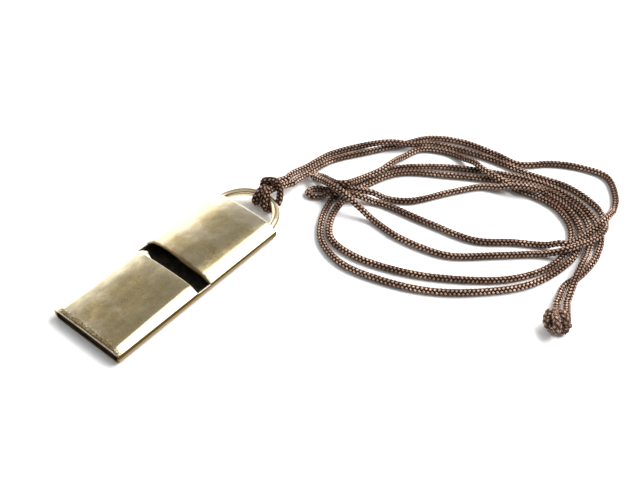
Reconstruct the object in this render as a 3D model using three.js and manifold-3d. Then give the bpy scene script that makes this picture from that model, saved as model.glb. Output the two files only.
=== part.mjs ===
import * as THREE from "three";
import { mergeVertices } from "three/addons/utils/BufferGeometryUtils.js";
import Module from "manifold-3d";

// A flat brass dog whistle: a pressed tray, two pressed covers with the slot between them, and a wire
// ring in a plug at the rear. A braided cord is folded in two and hitched round the ring.
// Millimetres. +X runs from the mouth to the ring, +Z is up, and the tray's flat bottom lies on z = 0.

// The whistle's body
const bodyLength = 47;
const bodyWidth = 20;
const sheet = 0.6;
const trayCornerRadius = 1.4;
const rimAtMouth = 2.4;
const rimAtSlot = 2.3;
const rimAtRear = 2.1;
const coverInset = 0.2;

// The two covers: how high each crown is, and the slot between them
const lipCrown = 3.15;
const slotFrontCrown = 3.8;
const slotRearCrown = 4.65;
const rearCrown = 4.3;
const windwayLength = 22.3;
const slotLength = 3.6;
const rearEdgeRound = 0.6;
const rearEdgeDrop = 0.3;

// Each cover's outline across the whistle: share of the half width, share of the rise above the rim
const lipShares = [
  [0, 1], [0.25, 0.995], [0.5, 0.985], [0.68, 0.97], [0.78, 0.95], [0.815, 0.92], [0.85, 0.82], [0.9, 0.57],
  [0.95, 0.295], [1, 0],
];
const slotFrontShares = [
  [0, 1], [0.22, 0.985], [0.42, 0.945], [0.6, 0.88], [0.74, 0.8], [0.79, 0.755], [0.84, 0.62], [0.9, 0.41],
  [0.95, 0.215], [1, 0],
];
const domeShares = [
  [0, 1], [0.2, 0.985], [0.4, 0.94], [0.58, 0.86], [0.72, 0.765], [0.78, 0.71], [0.83, 0.595], [0.89, 0.405],
  [0.95, 0.195], [1, 0],
];

// The pieces inside
const fit = 0.15;
const blockSetback = 0.4;
const blockLength = 21.2;
const blockTopAtMouth = 1.5;
const blockTopAtSlot = 2.15;
const plugSetback = 0.3;
const plugLength = 3.6;

// The ring, as wide as the tray lets its feet stand
const wireDiameter = 2;
const ringSideways = -0.3;
const ringRadius = bodyWidth / 2 - sheet - fit - wireDiameter / 2 - Math.abs(ringSideways);
const ringCentreInside = 1.25;
const ringHeightAtRear = 2.15;
const ringTilt = THREE.MathUtils.degToRad(5);
const footAngle = THREE.MathUtils.degToRad(100);

// The cord
const cordDiameter = 1.5;
const cordLongestStep = 6;

// Facets
const outlineSteps = 18;
const cornerSteps = 4;
const coverStations = 6;
const edgeStations = 3;
const wireSides = 16;
const wireSteps = 44;
const cordSides = 8;
const knotStepsPerSpan = 2;

// Places that follow from the sizes. The origin is under the middle of the whistle with its ring.
const ringReach = (ringRadius - ringCentreInside) * Math.cos(ringTilt) + wireDiameter / 2;
const ringEndX = (bodyLength + ringReach) / 2;
const mouthX = -ringEndX;
const rearX = mouthX + bodyLength;
const slotFrontX = mouthX + windwayLength;
const slotRearX = slotFrontX + slotLength;
const halfCover = bodyWidth / 2 - coverInset;

// The cord's routes, chosen by hand from the photograph and measured from the ring's far end.
// The hitch: in over the wire, down round it, up and across its own two ends, down and out again.
const hitchRoute = [
  [6.7, -0.6, 3.2], [4.7, 0, 3.5], [2.6, 0.5, 3.75], [0.7, 0.35, 4], [-1, 0.35, 4.6],
  [-2.4, 0.35, 4], [-3, 0.6, 2.7], [-2.6, 1, 1.3], [-1.2, 1.5, 0.8], [0.4, 2.1, 1.4],
  [1, 2, 3], [1.3, 1.6, 4.9], [1.6, 0.5, 5.5], [2.2, -0.6, 5.6], [2.2, -1.9, 5.3],
  [1.7, -2.9, 4.4], [1.1, -3.4, 3.2], [0.3, -3.6, 2], [-0.7, -3.3, 1], [-1.9, -2.9, 0.85],
  [-2.9, -2.4, 1.5], [-3.2, -2.1, 2.7], [-2.5, -1.8, 4], [-1.2, -1.45, 4.6], [0.6, -1.2, 4.2],
  [2.6, -1.2, 3.7], [4.7, -1.6, 3], [6.7, -2.2, 2.6],
];

// The strand with the small round leaf: a lap of the bundle, both leaves, then two more laps.
const strandARoute = [
  [7, -0.53, 3.15], [9.1, -0.1, 2.8], [14.1, -0.4, 1.8], [22.5, -0.9, 0.75], [29.3, -4.3, 0.75],
  [32.1, -7.5, 1.7], [33.7, -10, 2.4], [35.5, -12.2, 2.3], [37.7, -14.6, 1.6], [41.6, -17.2, 0.75],
  [43.9, -22.2, 0.75], [46.5, -32.3, 0.75], [47.5, -43.1, 0.75], [49.3, -52.4, 0.75], [47.3, -61, 0.75],
  [44.3, -64.6, 0.8], [42.1, -65.9, 1.6], [39.9, -66.6, 2.4], [36.7, -66.5, 2.5], [32.9, -65.2, 2.4],
  [28.3, -62.8, 2.4], [26.3, -60, 1.1], [24.2, -57.2, 0.75], [19.5, -52.1, 0.75], [12.3, -43.7, 0.75],
  [10.5, -38.1, 0.75], [9.7, -30.4, 0.75], [10.5, -23, 1], [10.2, -18, 3.4], [10.5, -12.8, 4.4],
  [11.6, -8, 3.2], [12.1, -5.4, 2.4], [12.5, -3.9, 1.9], [13.5, -3.5, 1.4], [14.2, -4.6, 1.3],
  [13.9, -6.8, 2], [13, -9.3, 3], [12.6, -11.6, 3.95], [13.5, -13, 4.1], [15.3, -13.2, 3.4],
  [19.6, -13.8, 2.35], [24, -15.3, 2.35], [27.8, -15.7, 2.35], [30.2, -15.3, 1.6], [33.1, -15.4, 0.75],
  [38.9, -17.3, 0.75], [42.1, -23.4, 0.75], [41.9, -27.6, 1.2], [41.1, -31, 2.3], [40.2, -34, 2.5],
  [39.8, -36.8, 2.5], [39.9, -39.4, 2.2], [40.7, -41.8, 0.85], [41, -44.2, 0.75], [41.6, -47.9, 0.75],
  [41.2, -53.8, 0.75], [37.2, -59.8, 0.75], [30.6, -62.7, 0.75], [23.4, -62.4, 0.75], [14.7, -57.6, 0.75],
  [6.5, -47.6, 0.75], [1.4, -37.9, 0.75], [-1.4, -26.8, 0.75], [-0.2, -19.7, 0.75], [5.5, -15.4, 0.75],
  [11.8, -14, 0.75], [18.6, -14.7, 0.75], [28, -18.4, 0.75], [35, -28.2, 0.75], [41, -38.6, 0.75],
  [44.5, -46.2, 0.75], [44.8, -53.3, 0.75], [42.5, -60.1, 0.75], [37.2, -64.9, 0.75], [31.6, -66.9, 1.1],
  [28.3, -67.7, 2.1], [25.6, -68.3, 2.4], [22.6, -68.9, 2.3], [15.6, -70.8, 1.95],
];

// The strand with the wide outer loop: the outer loop, both leaves, then two more laps.
const strandBRoute = [
  [7, -2.28, 2.55], [9.1, -2, 2.2], [12.4, -2, 1.7], [20.7, -2.5, 0.75], [29.9, -7.8, 0.75],
  [37.3, -12.4, 0.75], [43.6, -16.3, 0.75], [47.4, -22.9, 0.75], [48.8, -32.3, 0.75], [48.9, -38.3, 0.75],
  [50.7, -41.1, 0.75], [54.3, -44.7, 0.75], [57.7, -51, 0.75], [58.6, -57.6, 0.75], [53.4, -62.7, 0.75],
  [48.7, -64.6, 1], [45.7, -65.2, 2.4], [42.7, -65.4, 3.3], [39.7, -65.1, 3.2], [36.5, -64.2, 2.5],
  [30.7, -62.5, 2.4], [29.7, -60.8, 2.2], [28.8, -58.8, 1.1], [27.5, -56.5, 0.75], [25.1, -52.5, 0.75],
  [19.9, -45.3, 0.75], [17.9, -34.3, 0.75], [16.5, -22.5, 0.75], [15.6, -19.6, 0.75], [13.9, -16.9, 2],
  [12.4, -14.2, 2.4], [10.8, -12.2, 2.45], [10.1, -10.6, 2], [9.3, -9.2, 0.8], [8.5, -8.2, 0.75],
  [7.9, -7.2, 0.75], [8.2, -5.9, 0.75], [9.6, -5.8, 0.75], [10.8, -6.8, 0.75], [11.6, -8.7, 0.95],
  [12.1, -10.3, 1.8], [12.7, -11.8, 2.45], [14, -13.9, 2.45], [15.3, -16.4, 2.5], [16.6, -18.9, 2.3],
  [18.4, -21.5, 0.75], [21.3, -26.2, 0.75], [29.8, -31.7, 0.75], [36.5, -36.6, 0.8], [38.1, -39.7, 1.2],
  [39.2, -41.9, 2], [40.3, -44, 2.5], [41.6, -46.4, 2.5], [42.9, -48.9, 1.75], [43.4, -50.8, 0.8],
  [43.1, -53.3, 0.75], [41.8, -57.1, 0.75], [38, -61.8, 0.75], [32.6, -64.4, 0.75], [26.2, -64.7, 0.75],
  [16.1, -61.8, 0.75], [7.4, -54.7, 0.75], [0.8, -46.3, 0.75], [-3.4, -36.1, 0.75], [-4.9, -26.2, 0.75],
  [-2.1, -18.6, 0.75], [4.2, -13.8, 0.75], [11.2, -11.7, 0.75], [18.8, -12.6, 0.75], [26.4, -15.4, 0.75],
  [29.5, -17.3, 0.75], [36.1, -24.6, 0.75], [42.6, -36.2, 0.75], [45.7, -44.1, 0.75], [46.6, -51.8, 0.75],
  [44.8, -59.9, 0.75], [40.1, -65.8, 0.75], [33.7, -68.5, 0.75], [28.4, -69, 0.75], [24.2, -68.6, 0.75],
  [20.2, -67.8, 0.9], [14.2, -69.2, 1.7],
];

// The two ends in the overhand knot that ties them together.
const endKnotRouteA = [
  [15.3, -70.95, 1.97], [13, -72, 2.6], [11.35, -72.9, 3], [10.6, -73.5, 2.4], [9.8, -73.65, 1.3],
  [8.6, -73.05, 0.85], [7.8, -71.85, 1], [7.7, -70.65, 1.9], [8.6, -69.9, 2.6], [9.3, -69.8, 3.3],
  [9.95, -70.35, 3.5], [10.2, -71.05, 2.8], [10, -71.6, 1.8], [9.6, -72.5, 1.3], [9.2, -73.6, 1.2],
  [8.8, -74.5, 1.3],
];
const endKnotRouteB = [
  [13.9, -69.32, 1.75], [11.8, -70.4, 2.2], [9.2, -71.35, 3.6], [7.6, -72.4, 4.1], [6.95, -73.1, 3.5],
  [6.95, -73, 2.3], [8.15, -71.7, 1.2], [9.6, -70.9, 1.2], [10.55, -71, 2], [10.85, -71.55, 3.2],
  [10.15, -72.7, 3.9], [9.75, -73.5, 3.3], [10, -73.85, 2.1], [10.15, -74.4, 1.4],
];

const wasm = await Module();
wasm.setup();

const brass = new THREE.MeshStandardMaterial({ color: 0xc9b98a, metalness: 1, roughness: 0.3 });
const dullBrass = new THREE.MeshStandardMaterial({ color: 0x8f8158, metalness: 1, roughness: 0.5 });
const braid = new THREE.MeshStandardMaterial({ color: 0x4a3328, metalness: 0, roughness: 0.9 });

// Helpers

function closedGeometry(positions, index) {
  const geometry = new THREE.BufferGeometry();
  geometry.setAttribute("position", new THREE.Float32BufferAttribute(positions, 3));
  geometry.setIndex(index);
  return geometry;
}

// The triangles of a flat outline in the YZ plane, all of them facing +X.
function capTriangles(outline) {
  const flat = outline.map((p) => new THREE.Vector2(p.y, p.z));
  return THREE.ShapeUtils.triangulateShape(flat, []).map(([a, b, c]) => {
    const turn = THREE.ShapeUtils.area([flat[a], flat[b], flat[c]]);
    return turn > 0 ? [a, b, c] : [a, c, b];
  });
}

// A solid through outlines with the same number of points, anticlockwise as seen from +X.
function loft(outlines) {
  const count = outlines[0].length;
  const positions = outlines.flat().flatMap((p) => [p.x, p.y, p.z]);
  const index = [];
  for (let station = 0; station + 1 < outlines.length; station += 1) {
    const here = station * count;
    const there = here + count;
    for (let k = 0; k < count; k += 1) {
      const next = (k + 1) % count;
      index.push(here + k, here + next, there + k);
      index.push(here + next, there + next, there + k);
    }
  }
  const last = (outlines.length - 1) * count;
  capTriangles(outlines.at(-1)).forEach((t) => index.push(...t.map((k) => last + k)));
  capTriangles(outlines[0]).forEach(([a, b, c]) => index.push(a, c, b));
  return closedGeometry(positions, index);
}

function toSolid(geometry) {
  const bare = geometry.clone();
  bare.deleteAttribute("normal");
  bare.deleteAttribute("uv");
  const merged = mergeVertices(bare, fit / 1000);
  return new wasm.Manifold(
    new wasm.Mesh({
      numProp: 3,
      vertProperties: new Float32Array(merged.attributes.position.array),
      triVerts: new Uint32Array(merged.index.array),
    }),
  );
}

function toGeometry(solid) {
  const mesh = solid.getMesh();
  return closedGeometry(mesh.vertProperties, Array.from(mesh.triVerts));
}

function named(name, geometry, material) {
  geometry.computeVertexNormals();
  const mesh = new THREE.Mesh(geometry, material);
  mesh.name = name;
  return mesh;
}

// A share of the way from one number to another, with x given between two places.
function between(x, fromX, toX, from, to) {
  return THREE.MathUtils.mapLinear(x, fromX, toX, from, to);
}

// Even stations from one place to another, both included.
function stations(fromX, toX, count) {
  return Array.from({ length: count + 1 }, (_, k) => between(k, 0, count, fromX, toX));
}

// The whistle's outlines

function rimHeight(x) {
  if (x < slotFrontX) return between(x, mouthX, slotFrontX, rimAtMouth, rimAtSlot);
  return between(Math.min(x, slotRearX), slotFrontX, slotRearX, rimAtSlot, rimAtRear);
}

// A quarter turn at the right-hand bottom corner, from the side down to the bottom.
function bottomCorner(x, side, bottom, radius) {
  return Array.from({ length: cornerSteps + 1 }, (_, k) => {
    const angle = (k / cornerSteps) * (Math.PI / 2);
    const across = side - radius + radius * Math.cos(angle);
    return new THREE.Vector3(x, across, bottom + radius - radius * Math.sin(angle));
  });
}

function mirrored(points) {
  return points.map((p) => new THREE.Vector3(p.x, -p.y, p.z)).reverse();
}

function trayOutline(x) {
  const half = bodyWidth / 2;
  const rim = rimHeight(x);
  const outside = [new THREE.Vector3(x, half, rim), ...bottomCorner(x, half, 0, trayCornerRadius)];
  const inside = [
    new THREE.Vector3(x, half - sheet, rim),
    ...bottomCorner(x, half - sheet, sheet, trayCornerRadius - sheet),
  ];
  const whole = [...mirrored(outside).reverse(), ...outside.slice().reverse()];
  return [...whole, ...inside, ...mirrored(inside)];
}

// The right-hand half of a cover's outside, from the crown down to the rim.
function coverSide(x, shares, crown) {
  const rim = rimHeight(x);
  const curve = new THREE.SplineCurve(shares.map(([across, up]) => new THREE.Vector2(across, up)));
  return curve.getPoints(outlineSteps).map((p) => {
    return new THREE.Vector3(x, p.x * halfCover, rim + Math.max(p.y, 0) * (crown - rim));
  });
}

function blendShares(fromShares, toShares, share) {
  return fromShares.map(([across, up], k) => [
    THREE.MathUtils.lerp(across, toShares[k][0], share),
    THREE.MathUtils.lerp(up, toShares[k][1], share),
  ]);
}

// The half outline moved in by the sheet's thickness and ended at the rim.
function underside(outside) {
  const rim = outside.at(-1).z;
  const moved = outside.map((p, k) => {
    const before = outside[Math.max(k - 1, 0)];
    const after = outside[Math.min(k + 1, outside.length - 1)];
    const along = new THREE.Vector3().subVectors(after, before).normalize();
    return new THREE.Vector3(p.x, p.y + along.z * sheet, p.z - along.y * sheet);
  });
  moved[0].y = 0;
  const firstBelow = moved.findIndex((p) => p.z < rim);
  const [above, below] = [moved[firstBelow - 1], moved[firstBelow]];
  const foot = new THREE.Vector3().lerpVectors(above, below, (above.z - rim) / (above.z - below.z));
  const clear = moved.slice(0, firstBelow).filter((p) => p.distanceTo(foot) > fit);
  const line = new THREE.CatmullRomCurve3([...clear, foot]);
  return line.getSpacedPoints(outlineSteps);
}

function wholeWidth(half) {
  return [...mirrored(half).slice(0, -1), ...half];
}

function shellOutline(outside, inside) {
  return [...wholeWidth(inside), ...wholeWidth(outside).reverse()];
}

function mouthCoverSide(x) {
  const share = between(x, mouthX, slotFrontX, 0, 1);
  const crown = THREE.MathUtils.lerp(lipCrown, slotFrontCrown, share);
  return coverSide(x, blendShares(lipShares, slotFrontShares, share), crown);
}

// How far the chamber cover has come down at a place on its rounded rear edge.
function rearDrop(x) {
  const past = THREE.MathUtils.clamp((x - (rearX - rearEdgeRound)) / rearEdgeRound, 0, 1);
  return rearEdgeDrop * (1 - Math.sqrt(1 - past * past));
}

function chamberCoverSide(x) {
  const crown = between(x, slotRearX, rearX, slotRearCrown, rearCrown);
  return coverSide(x, domeShares, crown - rearDrop(x));
}

// The tunnel shape between the tray's floor and a cover's underside, clear of both sides.
function plugOutline(x) {
  const side = bodyWidth / 2 - sheet - fit;
  const rim = rimHeight(x) - fit;
  const roof = underside(chamberCoverSide(x)).map((p) => new THREE.Vector3(x, p.y, p.z - fit));
  const corner = bottomCorner(x, side, sheet, trayCornerRadius - sheet);
  const right = [new THREE.Vector3(x, side, rim), ...corner];
  return [...mirrored(right).reverse(), ...right.reverse(), ...wholeWidth(roof).reverse().slice(1, -1)];
}

function blockOutline(x) {
  const side = bodyWidth / 2 - sheet - fit;
  const fromX = mouthX + blockSetback;
  const top = between(x, fromX, fromX + blockLength, blockTopAtMouth, blockTopAtSlot);
  const right = [new THREE.Vector3(x, side, top), ...bottomCorner(x, side, sheet, trayCornerRadius - sheet)];
  return [...mirrored(right).reverse(), ...right.reverse()];
}

// Tubes

// The ring's bent wire, from one foot to the other.
class RingCurve extends THREE.Curve {
  constructor(reachAngle) {
    super();
    this.reachAngle = reachAngle;
  }

  getPoint(t, target = new THREE.Vector3()) {
    const angle = (t - 0.5) * 2 * this.reachAngle;
    const out = ringRadius * Math.cos(angle) - ringCentreInside;
    const side = ringSideways + ringRadius * Math.sin(angle);
    const up = ringHeightAtRear + out * Math.sin(ringTilt);
    return target.set(rearX + out * Math.cos(ringTilt), side, up);
  }
}

// A cord's line through its points, stepped at each point and at even shares of the longer spans.
class CordCurve extends THREE.CatmullRomCurve3 {
  constructor(route, stepsInSpan) {
    const points = route.map(([x, y, z]) => new THREE.Vector3(ringEndX + x, y, z));
    super(points, false, "centripetal");
    const spans = points.length - 1;
    this.stops = [0];
    for (let span = 0; span < spans; span += 1) {
      const steps = stepsInSpan(points[span].distanceTo(points[span + 1]));
      for (let k = 1; k <= steps; k += 1) this.stops.push((span + k / steps) / spans);
    }
  }

  getUtoTmapping(u) {
    return this.stops[Math.round(u * (this.stops.length - 1))];
  }
}

function roundShape(radius, sides) {
  const corner = (_, k) => {
    const angle = (k / sides) * Math.PI * 2;
    return new THREE.Vector2(radius * Math.cos(angle), radius * Math.sin(angle));
  };
  return new THREE.Shape(Array.from({ length: sides }, corner));
}

function tube(path, radius, sides, steps) {
  return new THREE.ExtrudeGeometry(roundShape(radius, sides), { extrudePath: path, steps });
}

function ringTube(radius, reachAngle) {
  return tube(new RingCurve(reachAngle), radius, wireSides, wireSteps);
}

function cordTube(route, stepsInSpan) {
  const path = new CordCurve(route, stepsInSpan);
  return tube(path, cordDiameter / 2, cordSides, path.stops.length - 1);
}

function strandTube(route) {
  return cordTube(route, (span) => Math.ceil(span / cordLongestStep));
}

function knotTube(route) {
  return cordTube(route, () => knotStepsPerSpan);
}

// The room that the ring's feet need in the pieces they stand in.
function footRoom() {
  const end = fit / ringRadius;
  return toSolid(ringTube(wireDiameter / 2 + fit, footAngle + end));
}

// The pieces

function makeLowerShell() {
  return loft([mouthX, slotFrontX, slotRearX, rearX].map(trayOutline));
}

function makeMouthCover() {
  const places = stations(mouthX, slotFrontX, coverStations);
  return loft(places.map((x) => shellOutline(mouthCoverSide(x), underside(mouthCoverSide(x)))));
}

function makeChamberCover() {
  const edge = stations(rearX - rearEdgeRound, rearX, edgeStations);
  const places = [...stations(slotRearX, rearX - rearEdgeRound, coverStations).slice(0, -1), ...edge];
  const shell = loft(places.map((x) => shellOutline(chamberCoverSide(x), underside(chamberCoverSide(x)))));
  return toGeometry(toSolid(shell).subtract(footRoom()));
}

function makeWindwayBlock() {
  const fromX = mouthX + blockSetback;
  return loft([fromX, fromX + blockLength].map(blockOutline));
}

function makeEndPlug() {
  const rear = rearX - plugSetback;
  const whole = loft(stations(rear - plugLength, rear, edgeStations).map(plugOutline));
  return toGeometry(toSolid(whole).subtract(footRoom()));
}

function makeEndKnot() {
  const first = toSolid(knotTube(endKnotRouteA));
  const second = toSolid(knotTube(endKnotRouteB));
  return toGeometry(first.add(second));
}

const whistle = new THREE.Group();
whistle.name = "dog_whistle";
whistle.add(
  named("lower_shell", makeLowerShell(), brass),
  named("mouth_cover", makeMouthCover(), brass),
  named("chamber_cover", makeChamberCover(), brass),
  named("windway_block", makeWindwayBlock(), dullBrass),
  named("end_plug", makeEndPlug(), dullBrass),
  named("bail", ringTube(wireDiameter / 2, footAngle), brass),
  named("hitch_knot", knotTube(hitchRoute), braid),
  named("cord_strand_a", strandTube(strandARoute), braid),
  named("cord_strand_b", strandTube(strandBRoute), braid),
  named("end_knot", makeEndKnot(), braid),
);

export default whistle;
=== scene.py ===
"""The looks of a flat brass dog whistle on a braided cord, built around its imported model."""
import functools
import logging
import math
from collections.abc import Callable
from dataclasses import dataclass, field
from enum import Enum

import bmesh
import bpy
import numpy as np
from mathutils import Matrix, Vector


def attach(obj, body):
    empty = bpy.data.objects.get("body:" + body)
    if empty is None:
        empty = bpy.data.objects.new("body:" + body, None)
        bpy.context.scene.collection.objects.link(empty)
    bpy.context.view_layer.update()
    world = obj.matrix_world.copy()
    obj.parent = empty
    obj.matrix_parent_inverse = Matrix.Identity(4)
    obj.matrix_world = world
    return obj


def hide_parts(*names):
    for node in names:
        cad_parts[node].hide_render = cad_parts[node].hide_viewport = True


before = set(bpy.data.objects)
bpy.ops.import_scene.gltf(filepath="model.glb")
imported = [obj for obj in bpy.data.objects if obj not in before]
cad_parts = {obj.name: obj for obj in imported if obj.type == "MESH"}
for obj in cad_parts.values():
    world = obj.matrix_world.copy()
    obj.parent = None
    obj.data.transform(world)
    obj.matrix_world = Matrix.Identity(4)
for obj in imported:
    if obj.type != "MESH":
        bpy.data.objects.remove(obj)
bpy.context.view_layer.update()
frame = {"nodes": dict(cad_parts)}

LOG = logging.getLogger("dog_whistle")
BODY = "root"
PER_METRE = 1000.0
MM = 1 / PER_METRE
TURN = 2 * math.pi
NEARLY_NOTHING = 1e-6
WHITE = (1, 1, 1, 1)

Points = np.ndarray
Material = bpy.types.Material
Object = bpy.types.Object
Colour = tuple[float, float, float, float]
Triple = tuple[float, float, float]
# Places along the whistle, and how far the outside is eased back at each
Stations = list[tuple[float, float]]
# A ramp's two ends, and the values there where they aren't 0 and 1
Range = tuple[float, ...]


# Points and lines


def cubic(p1: Points, p2: Points, out: Points, into: Points, t: Points | float) -> Points:
    """Returns the cubic from p1 to p2 that leaves with one slope and arrives with the other."""
    way = p2 - p1
    return p1 + out * t + (3 * way - 2 * out - into) * t**2 + (out + into - 2 * way) * t**3


def centripetal(points: Points, per_span: int = 24) -> Points:
    """Draws a smooth line through points.

    Args:
        points: the points, one to a row.
        per_span: how many samples each span gets.

    Returns:
        The sampled line, one point to a row.
    """
    row = [2 * points[0] - points[1], *points, 2 * points[-1] - points[-2]]
    t = np.arange(per_span)[:, None] / per_span
    line = []
    for p0, p1, p2, p3 in zip(row, row[1:], row[2:], row[3:]):
        spans = (p1 - p0, p2 - p1, p3 - p2)
        a, b, c = (max(float(np.linalg.norm(span)) ** 0.5, NEARLY_NOTHING) for span in spans)
        out = ((p1 - p0) / a - (p2 - p0) / (a + b) + (p2 - p1) / b) * b
        into = ((p2 - p1) / b - (p3 - p1) / (b + c) + (p3 - p2) / c) * b
        line.append(cubic(p1, p2, out, into, t))
    return np.concatenate([*line, points[-1:]])


def distances(line: Points) -> Points:
    """Returns how far along a line each of its points lies."""
    return np.concatenate([[0], np.cumsum(np.linalg.norm(np.diff(line, axis=0), axis=1))])


def sampled(line: Points, count: int) -> Points:
    """Cuts a line into even pieces.

    Args:
        line: the line's points.
        count: how many pieces it is cut into.

    Returns:
        The pieces' ends, both ends of the line among them.
    """
    along = distances(line)
    places = np.linspace(0, along[-1], count + 1)
    return np.stack([np.interp(places, along, values) for values in line.T], axis=1)


def evenly(line: Points, step: float) -> Points:
    """Samples a line at even distances of about one step."""
    return sampled(line, max(int(round(distances(line)[-1] / step)), 2))


def units(rows: Points) -> Points:
    """Returns vectors at length one."""
    return rows / np.linalg.norm(rows, axis=-1, keepdims=True)


# Nodes


@dataclass(frozen=True)
class Noise:
    """A noise's scale, octaves and roughness, and what its place is first multiplied by."""

    scale: float
    detail: float = 2.0
    rough: float = 0.5
    stretch: Triple | None = None


def operator(operation: str, swapped: bool = False) -> Callable[..., "Sock"]:
    """Makes a method that adds one Math node.

    Args:
        operation: the node's operation.
        swapped: whether the other value comes first.

    Returns:
        The method.
    """

    def applied(sock: "Sock", *others: "Sock | float") -> "Sock":
        """Returns the operation's result on this value and others."""
        return sock.graph.math(operation, *((*others, sock) if swapped else (sock, *others)))

    return applied


class Sock:
    """One output socket, with the operators that an expression on its value needs."""

    __add__ = __radd__ = operator("ADD")
    __sub__, __rsub__ = operator("SUBTRACT"), operator("SUBTRACT", swapped=True)
    __mul__ = __rmul__ = operator("MULTIPLY")
    __truediv__ = operator("DIVIDE")
    absolute, least, most = operator("ABSOLUTE"), operator("MINIMUM"), operator("MAXIMUM")
    cosine, sine = operator("COSINE"), operator("SINE")
    floor, modulo = operator("FLOOR"), operator("MODULO")

    def __init__(self, graph: "Graph", out: bpy.types.NodeSocket) -> None:
        """Keeps the socket and the graph that it belongs to."""
        self.graph, self.out = graph, out

    def __getitem__(self, name: str) -> "Sock":
        """Returns another output of the same node."""
        return Sock(self.graph, self.out.node.outputs[name])

    def ramp(self, low: float, high: float, start: float = 0.0, end: float = 1.0) -> "Sock":
        """Maps a range smoothly onto another.

        Args:
            low: where the input's range starts.
            high: where it ends; below low, the map runs the other way.
            start: the output at low.
            end: the output at high.

        Returns:
            The mapped value, held at both ends.
        """
        if high < low:
            low, high, start, end = high, low, end, start
        inputs = {"Value": self, "From Min": low, "From Max": high, "To Min": start, "To Max": end}
        return self.graph.node("ShaderNodeMapRange", {"interpolation_type": "SMOOTHSTEP"}, inputs)


class Mark:
    """A soft patch, given by its share and the spans of named values that it fades over."""

    def __init__(self, *spans: tuple, share: float = 1.0) -> None:
        """Keeps the spans, each a value's name and its ramp, and the share."""
        self.spans, self.share = spans, share

    def mask(self, at: dict[str, Sock]) -> Sock:
        """Returns how much of the patch there is, by the named values."""
        ramps = (at[name].ramp(*span) for name, *span in self.spans)
        return functools.reduce(Sock.__mul__, ramps) * self.share


def strongest(marks: tuple[Mark, ...], at: dict[str, Sock]) -> Sock:
    """Returns the strongest of some patches, by the named values."""
    return functools.reduce(Sock.most, (mark.mask(at) for mark in marks))


class Graph:
    """A node tree, written as calls and expressions."""

    def __init__(self, tree: bpy.types.NodeTree) -> None:
        """Empties a tree to write in."""
        self.tree = tree
        tree.nodes.clear()

    def link(self, source: Sock, node: bpy.types.Node, name: int | str) -> None:
        """Links a socket to a node's input."""
        self.tree.links.new(source.out, node.inputs[name])

    def end(self, kind: str, name: str, result: Sock) -> None:
        """Links a result to a new output node."""
        self.link(result, self.tree.nodes.new(kind), name)

    def node(
        self,
        kind: str,
        settings: dict | None = None,
        inputs: dict | None = None,
        out: int | str = 0,
    ) -> Sock:
        """Adds any node that has an output.

        Args:
            kind: the node's type.
            settings: its own settings.
            inputs: values, links or lists of links by socket name or number.
            out: which output is returned.

        Returns:
            The chosen output.
        """
        made = self.tree.nodes.new(kind)
        for key, value in (settings or {}).items():
            setattr(made, key, value)
        for key, value in (inputs or {}).items():
            for one in value if isinstance(value, list) else [value]:
                if isinstance(one, Sock):
                    self.link(one, made, key)
                else:
                    made.inputs[key].default_value = one
        return Sock(self, made.outputs[out])

    def math(self, operation: str, *values: Sock | float) -> Sock:
        """Returns the result of a Math node."""
        return self.node("ShaderNodeMath", {"operation": operation}, dict(enumerate(values)))

    def vector(self, operation: str, inputs: dict, out: int | str = 0) -> Sock:
        """Returns the result of a Vector Math node."""
        return self.node("ShaderNodeVectorMath", {"operation": operation}, inputs, out)

    def mix(self, share: Sock | float, first: Sock | Colour, second: Sock | Colour) -> Sock:
        """Mixes two colours by the share of the second."""
        settings = {"data_type": "RGBA", "clamp_result": False}
        return self.node("ShaderNodeMix", settings, {0: share, 6: first, 7: second}, out=2)

    def millimetres(self) -> Sock:
        """Returns the place on the object, in millimetres."""
        place = self.node("ShaderNodeTexCoord", out="Object")
        return self.vector("MULTIPLY", {0: place, 1: (PER_METRE,) * 3})

    def axis(self, vector: Sock, name: str) -> Sock:
        """Returns one part of a vector, by its letter."""
        return self.node("ShaderNodeSeparateXYZ", None, {0: vector}, name)

    def ray(self, kind: str) -> Sock:
        """Returns one for rays of one kind, and nought for the others."""
        return self.node("ShaderNodeLightPath", out=f"Is {kind} Ray")

    def towards(self, way: Sock, direction: Triple) -> Sock:
        """Returns how far a direction points towards another, from -1 to 1."""
        return self.vector("DOT_PRODUCT", {0: way, 1: direction}, "Value")

    def noise(self, place: Sock, kind: Noise) -> Sock:
        """Returns soft noise.

        Args:
            place: where it is read.
            kind: its sizes.

        Returns:
            The noise's value, from 0 to 1.
        """
        if kind.stretch:
            place = self.vector("MULTIPLY", {0: place, 1: kind.stretch})
        sizes = {"Scale": kind.scale, "Detail": kind.detail, "Roughness": kind.rough}
        return self.node("ShaderNodeTexNoise", None, {"Vector": place, **sizes})

    def bump(self, height: Sock, distance: float, strength: float, *normal: Sock) -> Sock:
        """Bumps the surface.

        Args:
            height: the bump's height from 0 to 1.
            distance: the height of 1, in metres.
            strength: the bump's strength.
            normal: another bump beneath this one, if any.

        Returns:
            The normal.
        """
        inputs = {"Height": height, "Distance": distance, "Strength": strength}
        return self.node("ShaderNodeBump", None, {**inputs, "Normal": [*normal]})


class MaterialGraph(Graph):
    """A new material's tree."""

    def __init__(self, name: str) -> None:
        """Makes an empty material of that name."""
        self.material = bpy.data.materials.new(name)
        self.material.use_nodes = True
        super().__init__(self.material.node_tree)

    def made(self, shader: Sock) -> Material:
        """Links a shader to the output and returns the finished material."""
        self.end("ShaderNodeOutputMaterial", "Surface", shader)
        return self.material

    def surface(self, inputs: dict) -> Material:
        """Ends the material in one principled surface with these values and links."""
        return self.made(self.node("ShaderNodeBsdfPrincipled", None, inputs))

    def glow(self, strength: Sock | float) -> Sock:
        """Returns a white emission."""
        return self.node("ShaderNodeEmission", None, {"Color": WHITE, "Strength": strength})


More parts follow.
